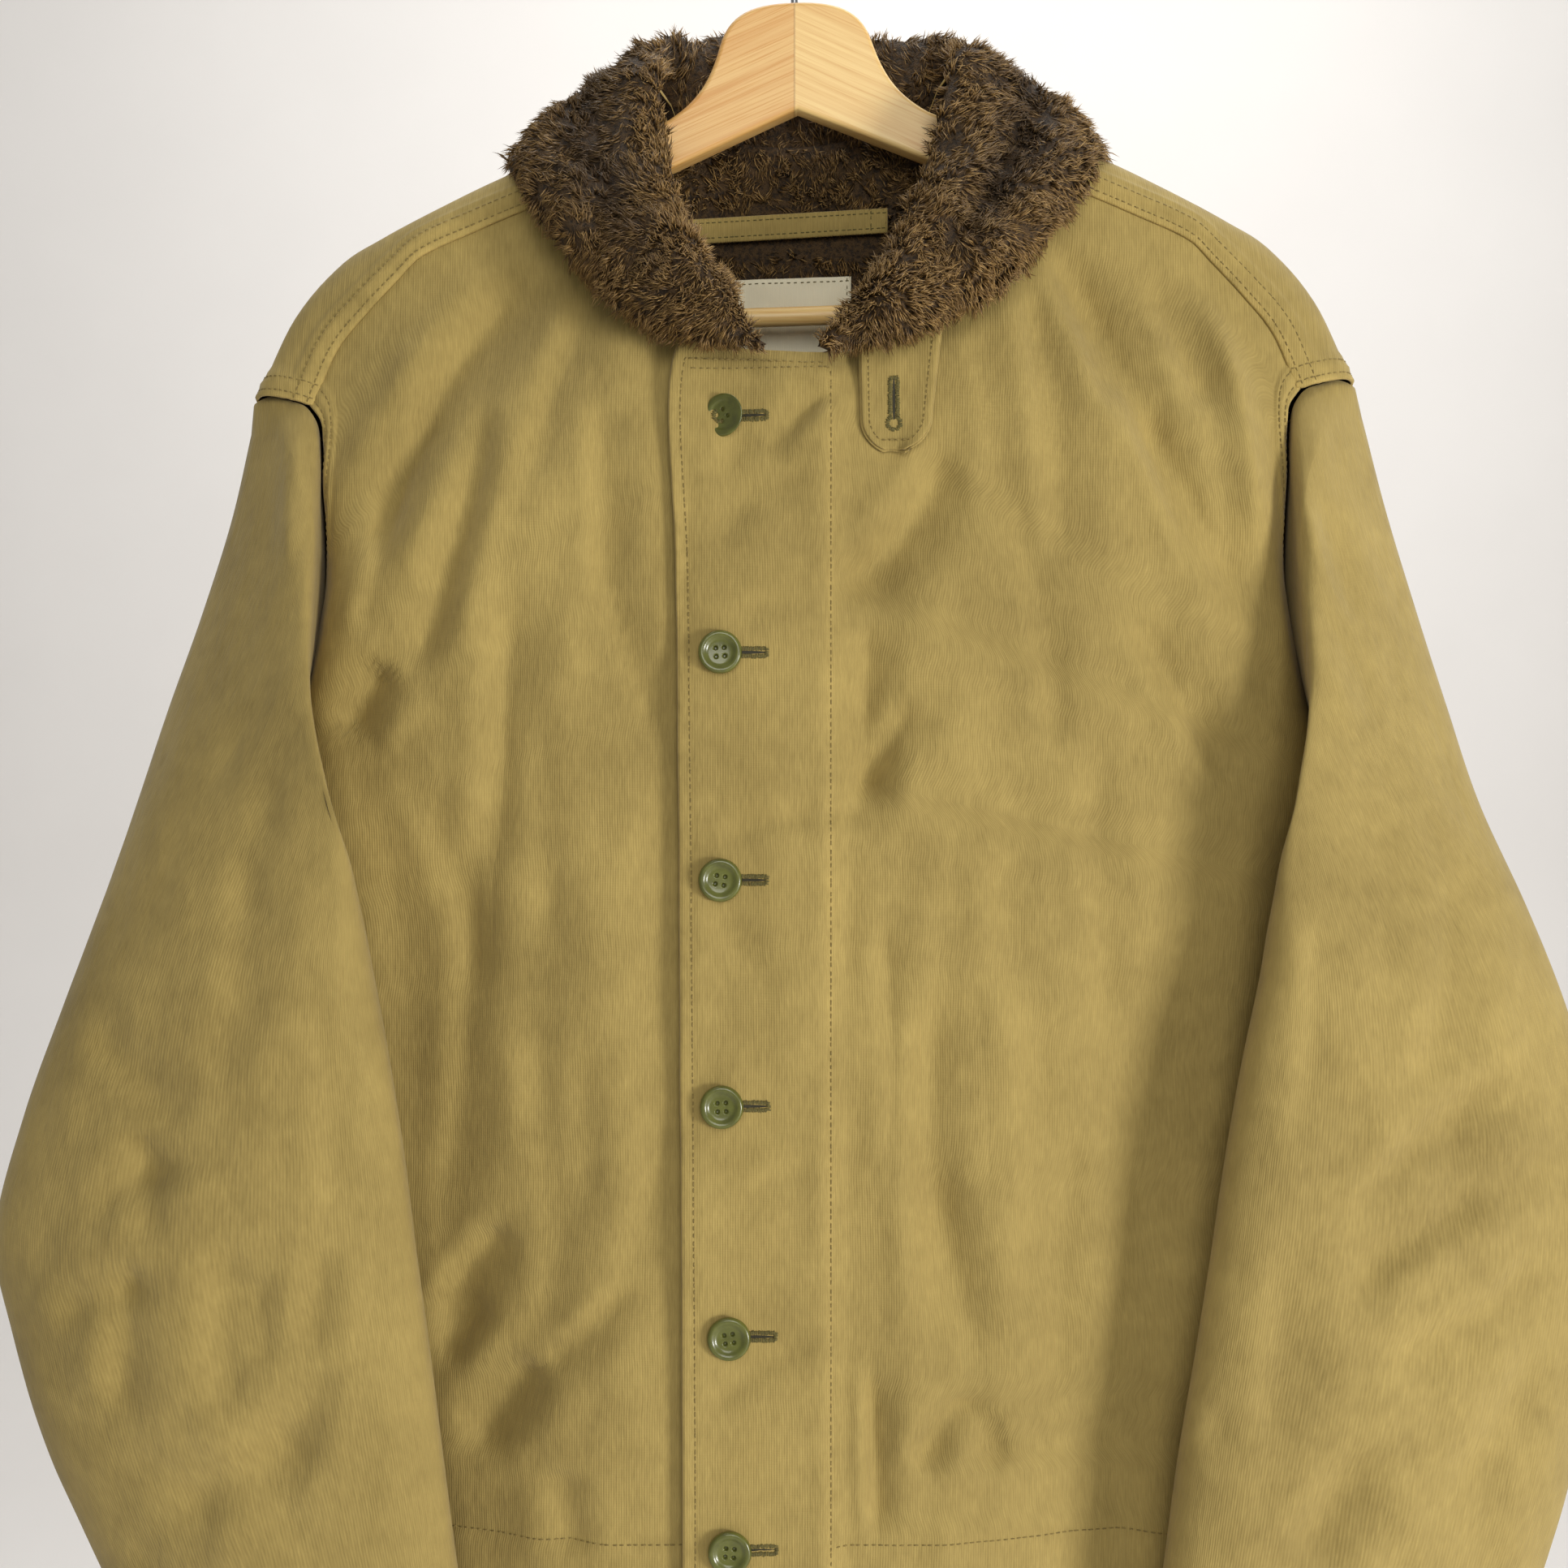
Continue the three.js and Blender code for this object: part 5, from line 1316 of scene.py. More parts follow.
class SewFronts(bpy.types.Operator):
    """Sews the two fronts and the button flap"""

    bl_idname = "jacket.sew_fronts"
    bl_label = "Fronts"

    def execute(self, context):
        cuts = {-1: ("front_right", 0.295, 0.75, 0.175), 1: ("front_left", 0.35, 0.755, 0.214)}
        for side, (name, width, length, area) in cuts.items():
            made = shell(front_panel(side), CLOTH)
            piece = add_piece(name + "_cloth", made, [cotton(), pile_finish()], [name])
        return {"FINISHED"}


class SewBack(bpy.types.Operator):
    """Sews the back with its lapped shoulder and side seams"""

    bl_idname = "jacket.sew_back"
    bl_label = "Back"

    def execute(self, context):
        piece = add_piece("back_cloth", shell(back_panel(), CLOTH), [cotton(), pile_finish()], ["back"])
        return {"FINISHED"}


class SewSleeves(bpy.types.Operator):
    """Sews the two sleeves"""

    bl_idname = "jacket.sew_sleeves"
    bl_label = "Sleeves"

    def execute(self, context):
        for side, name in ((-1, "sleeve_right"), (1, "sleeve_left")):
            made = shell(sleeve_panel(side), CLOTH)
            piece = add_piece(name + "_cloth", made, [cotton(), pile_finish()], [name])
        return {"FINISHED"}


class GrowCollar(bpy.types.Operator):
    """Rolls the collar and grows its curly pile"""

    bl_idname = "jacket.grow_collar"
    bl_label = "Collar"

    def execute(self, context):
        over = 26
        arch, floor, dip = collar_surface(sizes().pile, 150, over, 9)
        x, y, z = arch[..., 0], arch[..., 1], arch[..., 2]
        lumps = uneven(x, z, 16, 21) + uneven(x + y, z, 30, 22)
        away = unit(arch - (arch[:, :1] + arch[:, -1:]) / 2)
        arch = arch + away * (1.5 * lumps * np.sin(np.linspace(0, np.pi, over))[None])[..., None]
        points = np.concatenate([arch, floor[:, 1:-1]], axis=1)
        # Painted shade: the hollow's dip darkens the base and the strands there towards the pile's root tone.
        dark = np.concatenate([dip, np.zeros(floor[:, 1:-1].shape[:2])], axis=1)
        hint = unit(points - points.mean(axis=1, keepdims=True))
        normals, turned = surface_normals(points, True, hint)
        base = joined_ends(points, turned)
        base["values"] = base_values(len(base["points"]), np.concatenate([dark.ravel(), [0.0, 0.0]]))
        piece = add_piece("collar_roll", base, [pile_finish()], ["collar"])
        self.grow(points[:, :over], normals[:, :over], dark[:, :over])
        return {"FINISHED"}

    def grow(self, points, normals, dark):
        """Grows the strands in stretches along the roll, leaning from the neck outwards and down."""
        flow = unit(np.gradient(points, axis=1)) + np.array([0.0, 0.0, -0.35])
        stretches = 5
        cuts = np.linspace(0, len(points) - 1, stretches + 1).astype(int)
        for k in range(stretches):
            part = slice(cuts[k], cuts[k + 1] + 1)
            strands = pile_strands(points[part], normals[part], flow[part], dark[part],
                                   sizes().strands // stretches, sizes().strand, 0.34, 40 + k)
            add_piece(f"collar_pile_{k + 1}", strands, [strand_finish()])


def joined_ends(points, turned):
    """A closed tube from a grid whose columns meet: its walls in triangles, and a fan over each end."""
    index = round_index(*points.shape[:2])
    quads = grid_quads(index)
    faces = np.vstack([quads[:, [0, 1, 2]], quads[:, [0, 2, 3]]])
    flat = points.reshape(-1, 3)
    tips = [len(flat), len(flat) + 1]
    first = np.stack([index[0, 1:], index[0, :-1], np.full(index.shape[1] - 1, tips[0])], -1)
    last = np.stack([index[-1, :-1], index[-1, 1:], np.full(index.shape[1] - 1, tips[1])], -1)
    faces = np.vstack([faces, first, last])
    flat = np.vstack([flat, points[0].mean(axis=0), points[-1].mean(axis=0)])
    return {"points": flat, "faces": faces[:, ::-1] if turned else faces}


class LineNeck(bpy.types.Operator):
    """Lines the back of the neck with pile, and sews in the bare label and the hanging loop"""

    bl_idname = "jacket.line_neck"
    bl_label = "Neck lining, label and loop"

    def execute(self, context):
        hint = np.array([0.0, -1.0, 0.0])
        skin, depth = CLOTH + 2.6, sizes().pile
        grid = back_patch(-71, 83, -131, -119, 148, skin + depth - 3, 5, corners=26)
        lining = panel(grid, hint)
        made = shell(lining, depth - 3)
        made["values"] = base_values(len(made["points"]))
        piece = add_piece("neck_lining_base", made, [pile_finish()], ["neck_lining"])
        flow = np.zeros_like(grid) + np.array([0.15, -0.1, -1.0])
        under_label, under_loop = (-34, 32, -236, -186), (-58, 48, -178, -154)
        strands = pile_strands(grid, lining["normals"], flow, np.zeros(grid.shape[:2]),
                               11800, 8.5, 0.34, 60, [under_label, under_loop])
        add_piece("neck_lining_pile", strands, [strand_finish()])
        self.sew_label(hint, skin + depth + 1.3)
        self.sew_loop(hint, skin + depth + 1.7)
        return {"FINISHED"}

    def sew_label(self, hint, inward):
        """A bare woven label with a turned edge, sewn down along its top and sides."""
        tape = panel(back_patch(-30, 28, -192, -190, 40, inward, 1.5), hint)
        p = tape["points"]
        edge = np.min([run_along(p, 1), from_end(p, 1), run_along(p, 0), from_end(p, 0)], axis=0)
        swell = 0.35 * (1 - smooth((edge - 3.5) / 1.5)) + 0.3 * uneven(p[..., 0], p[..., 2], 18, 70)
        p = p + tape["normals"] * swell[..., None]
        tape["points"] = p
        c = colours()
        tones = {"Light": rgba(c.tape), "Deep": rgba(c.tape, 0.93), "Worn": 0.0}
        bare = finish("woven_tape", "ribbed_cotton", tones, bump=0.6, roughness=0.75)
        piece = add_piece("neck_label_tape", shell(tape, 0.9), [bare], ["neck_label"])
        rows = [level_line(tape, run_along(p, 0), 2.0, 0), level_line(tape, run_along(p, 1), 1.8, 1),
                level_line(tape, from_end(p, 1), 1.8, 1)]
        stitches = joined([stitch_row(*row, length=1.9, pitch=3.1, radius=0.3, seed=71 + k)
                           for k, row in enumerate(rows)])
        add_piece("label_stitches", stitches, [thread("dark_thread", c.hole_thread)])

    def sew_loop(self, hint, inward):
        """The hanging loop, a folded strip sewn along both edges and across its right end."""
        strip = panel(back_patch(-56, 46, -162.5, -156.5, 11.5, inward, 1.4), hint)
        top, low = run_along(strip["points"], 0), from_end(strip["points"], 0)
        swell = 0.5 * np.sin(np.clip(top / (top + low), 0, 1) * np.pi)
        swell -= 0.35 * stitch_grooves(np.minimum(top, low), [2.0])
        strip["points"] = strip["points"] + strip["normals"] * swell[..., None]
        piece = add_piece("hanger_loop_cloth", shell(strip, 1.5), [cotton()], ["hanger_loop"])
        rows = [level_line(strip, top, 2.0, 0), level_line(strip, low, 2.0, 0),
                level_line(strip, strip["points"][..., 0], 38.0, 1)]
        stitches = joined([stitch_row(*row, length=2.1, pitch=2.9, radius=0.3, seed=75 + k)
                           for k, row in enumerate(rows)])
        add_piece("loop_stitches", stitches, [thread("dark_thread", colours().hole_thread)])


TAB = {"top": -226.0, "bottom": -288.0, "tip": 15.0, "level": -262.0, "hole_x": 45.5, "hole_z": -276.0}


@lru_cache(maxsize=None)
def tab_panel(grow):
    """The throat tab: straight sides that close in a round tip, lying on the left front."""
    v = np.linspace(0, 1, 46)[:, None]
    u = np.linspace(-1, 1, 27)[None, :]
    z = TAB["top"] + (TAB["bottom"] - grow - TAB["top"]) * v
    near = np.maximum(TAB["tip"] - 1 - (z - TAB["bottom"] + grow), 0)
    squeeze = np.sqrt(np.maximum(1 - (near / TAB["tip"]) ** 2, 0.03))
    half = (18.5 + grow - 4 * v) * squeeze
    x = 49 - 3 * v + half * u
    z = z + 0 * x
    front = front_panel(1)
    own, _ = panel_place(front, x, z)
    level, _ = panel_place(front, x, 0 * x + TAB["level"])
    y = np.minimum(own[:, 1], level[:, 1]).reshape(x.shape)
    longer = np.vstack([y[:1]] * 3 + [y] + [y[-1:]] * 3)
    y = np.mean([longer[k:k + len(y)] for k in range(7)], axis=0)
    y = y - 3.2 - 3 * smooth(u) - 0.6 * np.exp(-((u / 0.5) ** 2))
    return panel(np.stack([x, y, z], -1), np.array([0.0, -1.0, 0.0]))


class SewTab(bpy.types.Operator):
    """Sews the throat tab from two plies with its stitched edge"""

    bl_idname = "jacket.sew_tab"
    bl_label = "Throat tab"

    def execute(self, context):
        front, behind = tab_panel(0.0), dict(tab_panel(0.7))
        behind["points"] = behind["points"] - 1.25 * behind["normals"]
        piece = add_piece("throat_tab_cloth", shell(front, 1.1), [cotton()], ["throat_tab"])
        ply = add_piece("throat_tab_ply", shell(behind, 1.0), [cotton()])
        points = front["points"]
        edge = np.concatenate([points[:, 0], points[-1], points[::-1, -1]])
        inset = edge_distance(points, edge)
        keep = points[:, 0, 2] > TAB["bottom"] + 3.2

        def inset_line(columns):
            half = {"points": points[:, columns], "normals": front["normals"][:, columns]}
            return kept(level_line(half, inset[:, columns], 3.0, 1), keep)

        left, right = inset_line(slice(0, 14)), inset_line(slice(13, None))
        line = (np.vstack([left[0], right[0][::-1]]), np.vstack([left[1], right[1][::-1]]))
        add_piece("throat_tab_stitches", stitch_row(*line, length=2.1, pitch=2.8, seed=80),
                  [thread("seam_thread", colours().thread)])
        return {"FINISHED"}


def buttonhole(panel_made, x, z, upright, seed):
    """A worked keyhole: stitches set square to the slit along both lips, round its eye and across its end."""
    rng = np.random.default_rng(seed)
    slit, lip, step = 21.0, 0.75, 0.6
    along = np.arange(2.2, slit, step)
    none = 0 * along
    lips = [np.stack([along, none + sign * (lip + 1.0), none, none + sign], -1) for sign in (-1, 1)]
    turn = np.arange(0.35, 2 * np.pi - 0.3, 0.24)
    eye = np.stack([3.0 * np.cos(turn), 3.0 * np.sin(turn), np.cos(turn), np.sin(turn)], -1)
    bar_y = np.linspace(-1.7, 1.7, 6)
    bar = np.stack([0 * bar_y + slit + 0.3, bar_y, 0 * bar_y + 1, 0 * bar_y], -1)
    plan = np.vstack([*lips, eye, bar])
    plan[:, :2] += rng.normal(0, 0.12, (len(plan), 2))
    plan[:, 2:] = unit(plan[:, 2:] + rng.normal(0, 0.16, (len(plan), 2)))
    if upright:
        plan = np.stack([-plan[:, 1], plan[:, 0], -plan[:, 3], plan[:, 2]], -1)
    points, normals = panel_place(panel_made, x + plan[:, 0], z + plan[:, 1])
    way = np.stack([plan[:, 2], 0 * plan[:, 2], plan[:, 3]], -1)
    way = unit(way - normals * np.sum(way * normals, -1, keepdims=True))
    stitches = spindles(points, way, normals, 2.3, 0.36, 0.28, rng)
    mid = np.linspace(1.5, slit, 22)
    width = 0.7 * np.sqrt(np.clip(1 - ((mid - 11.2) / 10.2) ** 2, 0.02, 1))
    rim = np.stack([np.concatenate([mid, mid]), np.concatenate([-width, width])], -1)
    if upright:
        rim = np.stack([-rim[:, 1], rim[:, 0]], -1)
    place, up = panel_place(panel_made, x + rim[:, 0], z + rim[:, 1])
    place = place + 0.08 * up
    low = np.arange(len(mid) - 1)
    high = low + len(mid)
    faces = np.stack([low, low + 1, high + 1, high], -1)
    return stitches, {"points": place, "faces": faces[:, ::-1] if upright else faces}


class WorkButtonholes(bpy.types.Operator):
    """Works the six buttonholes of the flap and the one in the tab"""

    bl_idname = "jacket.work_buttonholes"
    bl_label = "Buttonholes"

    def execute(self, context):
        places = enumerate(zip(BUTTONS["x"], BUTTONS["z"]))
        made = [buttonhole(front_panel(1), x, z, False, 90 + k) for k, (x, z) in places]
        made.append(buttonhole(tab_panel(0.0), TAB["hole_x"], TAB["hole_z"], True, 99))
        add_piece("buttonhole_stitches", joined([m[0] for m in made]),
                  [thread("buttonhole_thread", colours().hole_thread)])
        dark = thread("buttonhole_shadow", tuple(0.2 * v for v in colours().hole_thread), 0.0)
        add_piece("buttonhole_slits", joined([m[1] for m in made]), [dark])
        return {"FINISHED"}


BUTTON_PROFILE = table("r h", [
    (0, 2.35), (3, 2.4), (5.4, 2.6), (6.3, 3.0), (7.3, 3.7), (8.4, 4.0), (9.3, 3.7), (9.8, 3.0), (10, 2.2),
])


def button_mesh(turn):
    """A button: height over radius from its profile, sunk in four round pits, and a plain dished back."""
    radius = np.concatenate([np.linspace(0.02, 4.6, 17), np.linspace(4.9, 10, 17)])
    angle = 2 * np.pi * np.arange(60) / 60
    r, a = radius[:, None], angle[None, :]
    u, w = r * np.cos(a), r * np.sin(a)
    h = read_table(BUTTON_PROFILE, "r", np.broadcast_to(r, u.shape))["h"]
    for corner in (0.25, 0.75, 1.25, 1.75):
        at = corner * np.pi + turn
        gap = np.hypot(u - 2.75 * np.cos(at), w - 2.75 * np.sin(at))
        h = h - 1.9 * (1 - smooth((gap - 0.72) / 0.42))
    face = np.stack([u, -h, w], -1)
    low = np.array([(9.7, 1.2), (8.6, 0.3), (6.0, 0.05), (0.02, 0.3)])
    back = np.stack([low[:, :1] * np.cos(a), -low[:, 1:] + 0 * a, low[:, :1] * np.sin(a)], -1)
    return joined_ends(np.concatenate([face, back]), True)


class SetButtons(bpy.types.Operator):
    """Sets the six buttons on the flap, the top one half through its buttonhole"""

    bl_idname = "jacket.set_buttons"
    bl_label = "Buttons"

    def execute(self, context):
        c = colours()
        tones = {"Light": rgba(c.resin, 1.3), "Deep": rgba(c.resin, 0.75), "Clouds": 130.0, "Specks": 900.0}
        resin = finish("olive_resin", "cloudy_tone", tones, bump=0.3, roughness=0.3,
                       coat_weight=0.4, coat_roughness=0.12)
        right, up = np.array([1, -1, 0, 0]), np.array([0, 0, 1, -1])
        for k, (x, z, turn, tip) in enumerate(zip(*BUTTONS.values())):
            made = button_mesh(np.radians(turn))
            seat, _ = panel_place(front_panel(1), x + 6 * right, z + 6 * up)
            cosine, sine = np.cos(np.radians(tip)), np.sin(np.radians(tip))
            p = made["points"]
            sink = 1.6 if tip else -0.3
            across = p[:, 0] * cosine - p[:, 1] * sine
            ahead = p[:, 1] * cosine - p[:, 0] * sine
            made["points"] = np.stack([x + across, seat[:, 1].min() + sink + ahead, z + p[:, 2]], -1)
            made["values"] = {"tone": np.full(len(p), 0.3 + 0.1 * k)}
            add_piece(f"button_{k + 1}_resin", made, [resin], [f"button_{k + 1}"])
        return {"FINISHED"}


class StitchSeams(bpy.types.Operator):
    """Stitches the flap, shoulders, armholes, sides, hem and cuffs"""

    bl_idname = "jacket.stitch_seams"
    bl_label = "Seam stitching"

    def execute(self, context):
        seams = thread("seam_thread", colours().thread)
        add_piece("front_stitches", joined(self.fronts()), [seams])
        add_piece("back_stitches", joined(self.back()), [seams])
        add_piece("sleeve_stitches", joined(self.sleeves()), [seams])
        return {"FINISHED"}

    def fronts(self):
        """The armhole and hem rows of both fronts, and the flap's edge and join."""
        rows = []
        for side in (-1, 1):
            made = front_panel(side)
            p = made["points"]
            above = p[:, -1, 2] > UNDERARM_Z
            arm = from_end(p, 1)
            rows += [kept(level_line(made, arm, place, 1), above) for place in SEAM_ROWS]
            for level in (HEM_SEAM_Z, HEM_Z + 6):
                line = level_line(made, p[..., 2], level, 0)
                rows.append(kept(line, line[0][:, 0] > FLAP_SEAM_X + 2) if side > 0 else line)
        left = front_panel(1)
        p = left["points"]
        edge = edge_distance(p, p[:, 0])
        rim = level_line(left, edge, 5.3, 1)
        rows.append(kept(rim, (rim[0][:, 0] < FLAP_SEAM_X) & (p[:, 0, 2] < FLAP_TURN_Z)))
        join = level_line(left, p[..., 0], FLAP_SEAM_X, 1)
        rows.append(kept(join, (join[0][:, 2] < -251) & (p[:, 0, 0] < FLAP_SEAM_X - 3)))
        across = np.linspace(-48.5, FLAP_SEAM_X, 60)
        rows.append(panel_place(left, across, 0 * across - 250.0))
        return [stitch_row(*row, seed=110 + k) for k, row in enumerate(rows) if len(row[0]) > 3]

    def back(self):
        """Two rows along each shoulder and side of the back, and the hem's rows."""
        made = back_panel()
        p = made["points"]
        rows = []
        for place in SEAM_ROWS:
            line = level_line(made, run_along(p, 0), place, 0)
            out = line[0][:, 0] - MIDDLE_X
            rows += [kept(line, out > 76), kept(line, out < -76)]
            half = p.shape[1] // 2
            left = {"points": p[:, :half], "normals": made["normals"][:, :half]}
            right = {"points": p[:, half:], "normals": made["normals"][:, half:]}
            rows.append(level_line(left, run_along(left["points"], 1), place, 1))
            rows.append(level_line(right, from_end(right["points"], 1), place, 1))
        rows += [level_line(made, p[..., 2], level, 0) for level in (HEM_SEAM_Z, HEM_Z + 6)]
        return [stitch_row(*row, seed=140 + k) for k, row in enumerate(rows)]

    def sleeves(self):
        """One row round each cuff."""
        rows = []
        for side in (-1, 1):
            made = sleeve_panel(side)
            points, normals = level_line(made, from_end(made["points"], 0), 24.0, 0)
            rows.append((np.vstack([points, points[:1]]), np.vstack([normals, normals[:1]])))
        return [stitch_row(*row, seed=170 + k) for k, row in enumerate(rows)]


def bezier(points, count=14):
    """A Bezier arc of three or four control points, its last point left to the next arc."""
    points = np.array(points, float)
    while len(points) < 4:
        a, b, c = points
        points = np.array([a, a + (b - a) * 2 / 3, c + (b - c) * 2 / 3, c])
    t = np.linspace(0, 1, count, endpoint=False)[:, None]
    a, b, c, d = points
    return a * (1 - t) ** 3 + 3 * b * t * (1 - t) ** 2 + 3 * c * t**2 * (1 - t) + d * t**3


def hanger_outline():
    """Half of the hanger's face: a rounded neck that flares into an arm and comes back under it."""
    return np.vstack([
        bezier([(0, 0), (20, 0), (32, -4), (37, -20)]),
        bezier([(37, -20), (42, -36), (48, -46), (63, -55)]),
        bezier([(63, -55), (110, -76), (156, -97), (203, -117.5)], 6),
        bezier([(203, -117.5), (214, -123), (217, -140)]),
        bezier([(217, -140), (218, -149), (219, -158)], 2),
        bezier([(219, -158), (217, -166), (206, -164)]),
        bezier([(206, -164), (180, -160), (176, -134), (140, -112)]),
        bezier([(140, -112), (93, -92), (47, -72), (0, -52)], 6),
    ])


def tilted(points):
    """Points of the hanger, drawn level about its top, turned to its tilt and set at its height."""
    x, y, z = points[..., 0], points[..., 1], points[..., 2]
    c, s = np.cos(HANGER_TILT), np.sin(HANGER_TILT)
    return np.stack([x * c - z * s, y, x * s + z * c + HANGER_TOP_Z], -1)


class ShapeHanger(bpy.types.Operator):
    """Shapes the wooden hanger with its rounded edges, and its trouser bar"""

    bl_idname = "jacket.shape_hanger"
    bl_label = "Hanger"

    def execute(self, context):
        half = hanger_outline()
        mirror = half[:0:-1] * np.array([-1, 1])
        low = np.array([[0.0, -52.0]])
        outline = np.vstack([half, low, mirror])
        count = len(outline)
        rounding = 2.2
        edge = np.roll(outline, -1, axis=0) - np.roll(outline, 1, axis=0)
        inward = unit(np.stack([edge[:, 1], -edge[:, 0]], -1))
        turn = np.linspace(0, np.pi / 2, 5)
        inset = rounding * (1 - np.sin(turn))
        depth = HANGER_THICK / 2 - rounding * (1 - np.cos(turn))
        insets = np.concatenate([inset, inset[::-1]])
        depths = np.concatenate([-depth[0] + 0 * depth[:1], -depth[1:], depth[::-1]])
        rings = [np.stack([o[:, 0], np.full(count, y), o[:, 1]], -1)
                 for o, y in ((outline + inward * d, y) for d, y in zip(insets, depths))]
        grid = np.stack(rings)
        self.build(tilted(grid), count)
        self.bar()
        return {"FINISHED"}

    def build(self, grid, count):
        """Walls between the rings, and a flat face over each end."""
        index = round_index(len(grid), count)
        mesh = bpy.data.meshes.new("hanger_wood")
        faces = grid_quads(index).tolist()
        faces += [index[0, :-1][::-1].tolist(), index[-1, :-1].tolist()]
        mesh.from_pydata((grid.reshape(-1, 3) * MM).tolist(), [], faces)
        flat = np.zeros(len(faces), bool)
        flat[:-2] = True
        mesh.polygons.foreach_set("use_smooth", flat)
        signed = sum(float(np.dot(p.center, p.normal)) * p.area for p in mesh.polygons)
        if signed < 0:
            mesh.flip_normals()
        piece = bpy.data.objects.new("hanger_wood", mesh)
        bpy.context.scene.collection.objects.link(piece)
        mesh.materials.append(wood("hanger_grain", 0.45, 1.0))
        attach(piece, "root")
        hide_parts("hanger")

    def bar(self):
        """The trouser bar, a plain round rod let into both arms."""
        profile = np.array([(-198, 0.02), (-198, 4.2), (-197, 4.7), (197, 4.7), (198, 4.2), (198, 0.02)])
        long = np.concatenate([profile[:3], [(x, 4.7) for x in np.linspace(-150, 150, 7)], profile[3:]])
        a = 2 * np.pi * np.arange(36)[None, :] / 36
        grid = np.stack([long[:, :1] + 0 * a, long[:, 1:] * np.cos(a), long[:, 1:] * np.sin(a) - 151.5], -1)
        made = joined_ends(tilted(grid), False)
        add_piece("trouser_bar_wood", made, [wood("bar_grain", 0.0, 0.0, 1.2)], ["trouser_bar"])


class BendHook(bpy.types.Operator):
    """Bends the wire hook"""

    bl_idname = "jacket.bend_hook"
    bl_label = "Hook"

    def execute(self, context):
        wire, crook = 1.7, 18.0
        turn = np.radians(np.arange(-45, 206, 25))
        bow = np.stack([(crook + wire) * np.cos(turn), 0 * turn, (crook + wire) * np.sin(turn) - crook], -1)
        shank = np.array([(0, 0, HANGER_TOP_Z - 11), (0, 0, HANGER_TOP_Z), (0.5, 0, HANGER_TOP_Z + 12),
                          (6, 0, HANGER_TOP_Z + 20)])
        path = closed_curve(np.vstack([shank, bow]), np.linspace(0, 1, 121), closed=False)
        ahead = unit(np.gradient(path, axis=0))
        across = np.array([0.0, 1.0, 0.0]) + 0 * ahead
        other = np.cross(ahead, across)
        girth = np.full(121, wire)
        girth[[0, -1]] = 0.25 * wire
        girth[[1, -2]] = 0.85 * wire
        a = 2 * np.pi * np.arange(20)[None, :, None] / 20
        ring = across[:, None] * np.cos(a) + other[:, None] * np.sin(a)
        grid = path[:, None] + girth[:, None, None] * ring
        c = colours()
        tones = {"Light": rgba(c.steel), "Deep": rgba(c.steel, 0.8), "Clouds": 90.0, "Specks": 1200.0}
        plated = finish("plated_wire", "cloudy_tone", tones, bump=0.15, rough_from_group=True, metallic=1.0)
        _, turned = surface_normals(grid, True, unit(grid - path[:, None]))
        add_piece("hook_wire", joined_ends(grid, turned), [plated], ["hook"])
        return {"FINISHED"}


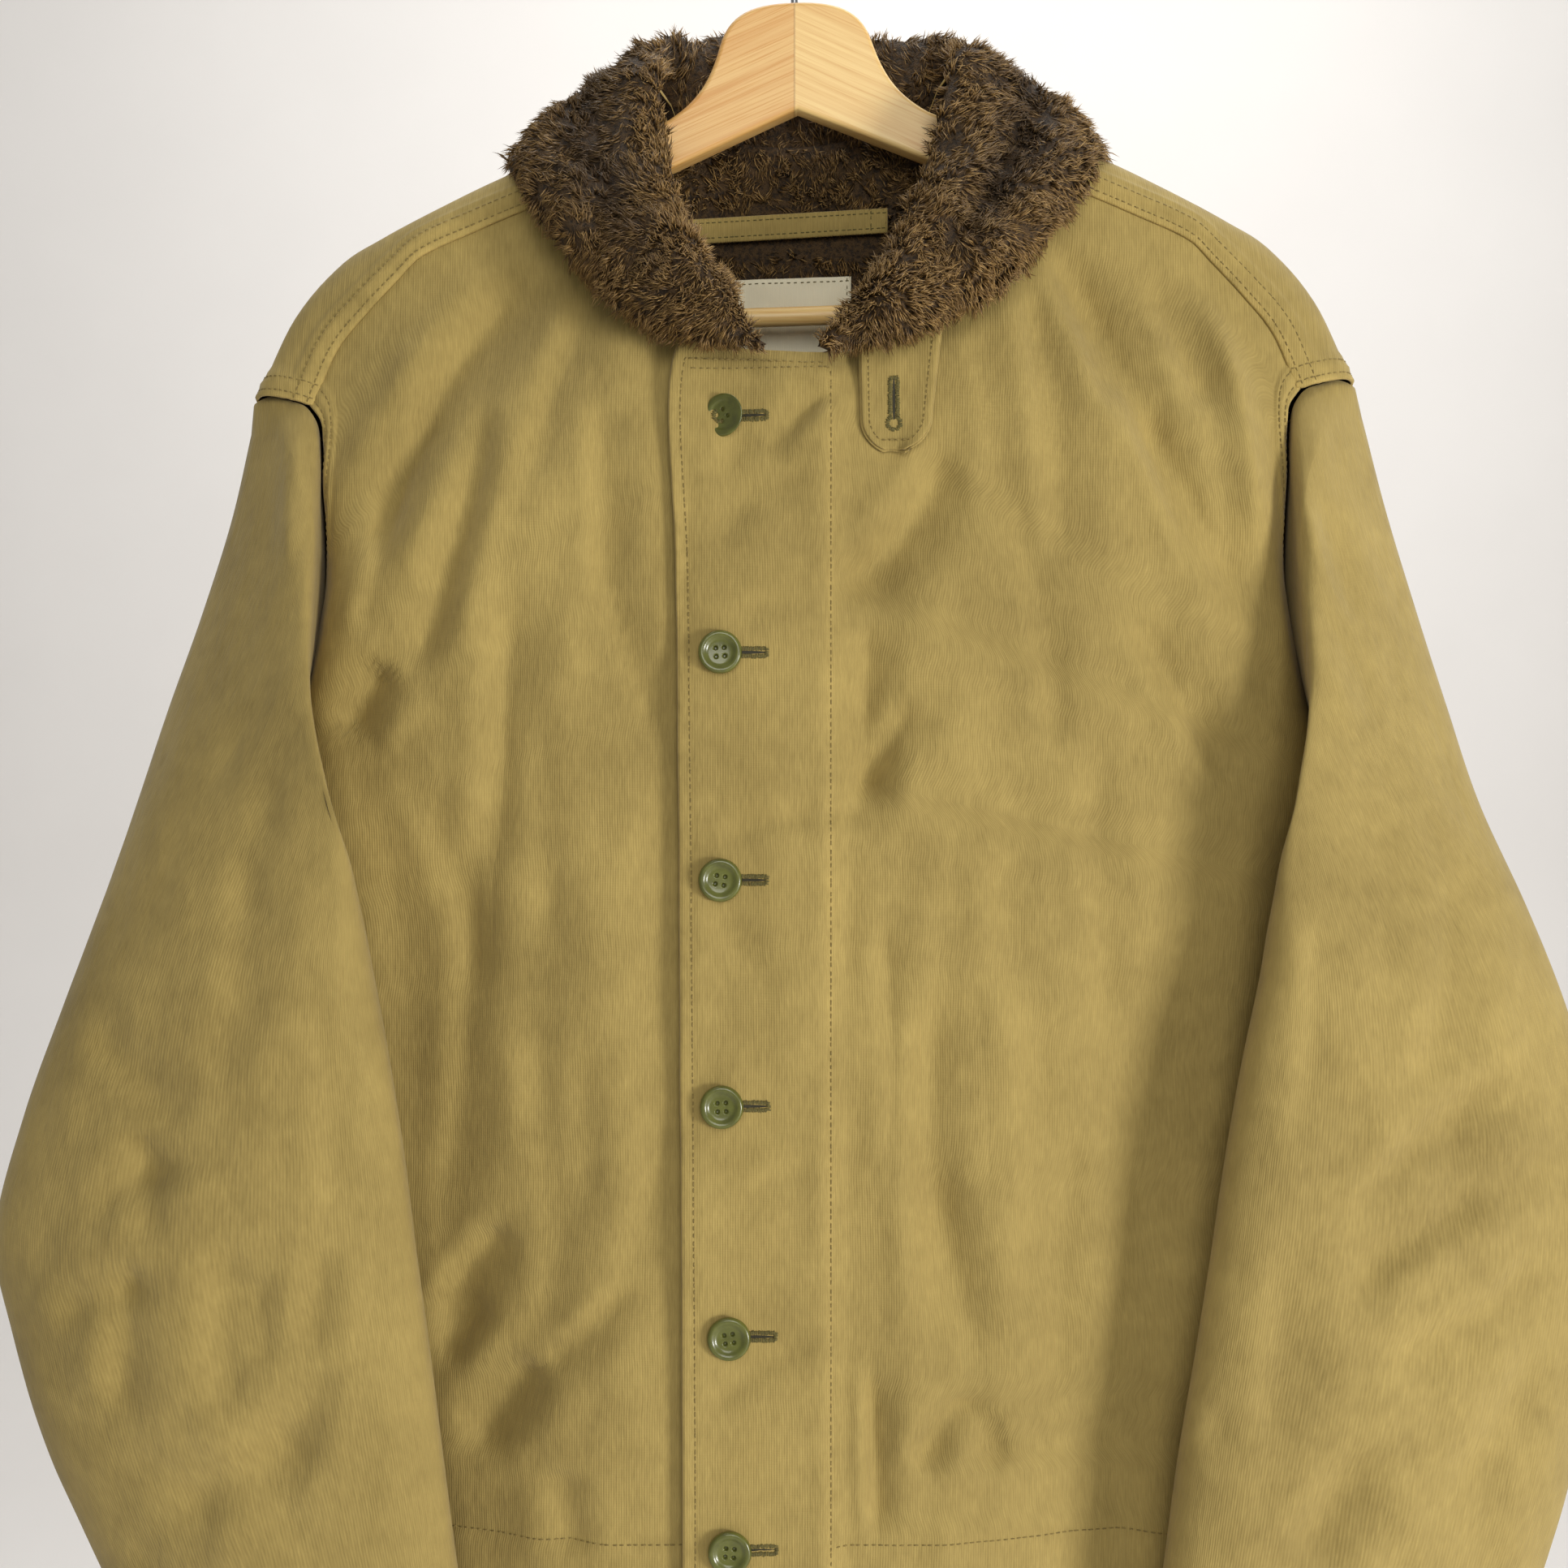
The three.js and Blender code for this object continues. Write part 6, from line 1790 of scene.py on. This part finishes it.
class SetStage(bpy.types.Operator):
    """Sets the pale floor and wall, the soft light and the camera"""

    bl_idname = "jacket.set_stage"
    bl_label = "Stage"

    def execute(self, context):
        scene = context.scene
        floor, wall, bend = -1500.0, 3400.0, 900.0
        turn = np.linspace(0, np.pi / 2, 24)
        y = np.concatenate([[-3200], wall - bend + bend * np.sin(turn), [wall]])
        z = np.concatenate([[floor], floor + bend * (1 - np.cos(turn)), [2600]])
        x = np.linspace(-4200, 4200, 5)[None, :]
        grid = np.stack([x + 0 * y[:, None], y[:, None] + 0 * x, z[:, None] + 0 * x], -1)
        index = np.arange(grid.shape[0] * 5).reshape(-1, 5)
        made = {"points": grid.reshape(-1, 3), "faces": grid_quads(index)}
        c = colours()
        tones = {"Light": rgba(c.backdrop), "Deep": rgba(c.backdrop, 0.96), "Clouds": 1.5, "Specks": 160.0}
        plaster = finish("pale_backdrop", "cloudy_tone", tones, bump=0.5, roughness=0.9)
        backdrop = bpy.data.objects.new("backdrop", fill_mesh("backdrop", made))
        backdrop.data.materials.append(plaster)
        scene.collection.objects.link(backdrop)
        self.light(scene)
        camera = bpy.data.cameras.new("camera")
        camera.lens, camera.sensor_width = 42.0, 36.0
        seat = bpy.data.objects.new("camera", camera)
        seat.location = (-0.0051, -0.894, -0.442)
        seat.rotation_euler = (np.pi / 2, 0, 0)
        scene.collection.objects.link(seat)
        scene.camera = seat
        scene.view_settings.view_transform = "Standard"
        return {"FINISHED"}

    def light(self, scene):
        """A light from the right, a softer, weaker one from the front, one on the wall and a pale surround."""
        world = bpy.data.worlds.new("surround")
        world.use_nodes = True
        background = world.node_tree.nodes["Background"]
        background.inputs["Color"].default_value = (1.0, 0.985, 0.96, 1)
        background.inputs["Strength"].default_value = 0.26
        scene.world = world
        warm, pale = (1.0, 0.98, 0.95), (1.0, 0.99, 0.97)
        jacket, wall = (0, 0, -0.5), (0, 3.2, -0.2)
        lamps = {"key_light": ((2.2, -1.8, -0.95), jacket, 0.7, 51.0, warm),
                 "front_light": ((0.2, -2.2, 0.25), jacket, 1.2, 19.0, warm),
                 "wall_light": ((0.4, 0.9, 1.9), wall, 2.8, 88.0, pale)}
        for name, (place, aim, size, power, tint) in lamps.items():
            lamp = bpy.data.lights.new(name, "AREA")
            lamp.size, lamp.energy, lamp.color = size, power, tint
            seat = bpy.data.objects.new(name, lamp)
            way = np.array(aim) - np.array(place)
            across = np.hypot(way[0], way[1])
            seat.location = place
            seat.rotation_euler = (np.arctan2(across, -way[2]), 0, np.arctan2(-way[0], way[1]))
            scene.collection.objects.link(seat)


STEPS = (SetStage, SewFronts, SewBack, SewSleeves, GrowCollar, LineNeck, SewTab, WorkButtonholes, SetButtons,
         StitchSeams, ShapeHanger, BendHook)


class JacketPanel(bpy.types.Panel):
    """Lists the jacket's pieces and its sizes and colours"""

    bl_idname = "VIEW3D_PT_jacket"
    bl_label = "Jacket"
    bl_space_type = "VIEW_3D"
    bl_region_type = "UI"
    bl_category = "Jacket"

    def draw(self, context):
        for group in (context.scene.jacket_sizes, context.scene.jacket_colours):
            for name in group.bl_rna.properties.keys():
                if name not in ("rna_type", "name"):
                    self.layout.prop(group, name)
        for step in STEPS:
            self.layout.operator(step.bl_idname)


CLASSES = (JacketSizes, JacketColours, *STEPS, JacketPanel)


def register():
    """Makes the sizes, colours, operators and panel known to Blender."""
    for item in CLASSES:
        bpy.utils.register_class(item)
    bpy.types.Scene.jacket_sizes = PointerProperty(type=JacketSizes)
    bpy.types.Scene.jacket_colours = PointerProperty(type=JacketColours)


def unregister():
    """Takes them out again."""
    del bpy.types.Scene.jacket_sizes
    del bpy.types.Scene.jacket_colours
    for item in reversed(CLASSES):
        bpy.utils.unregister_class(item)


def main():
    register()
    for step in STEPS:
        group, name = step.bl_idname.split(".")
        getattr(getattr(bpy.ops, group), name)()


if __name__ == "__main__":
    main()
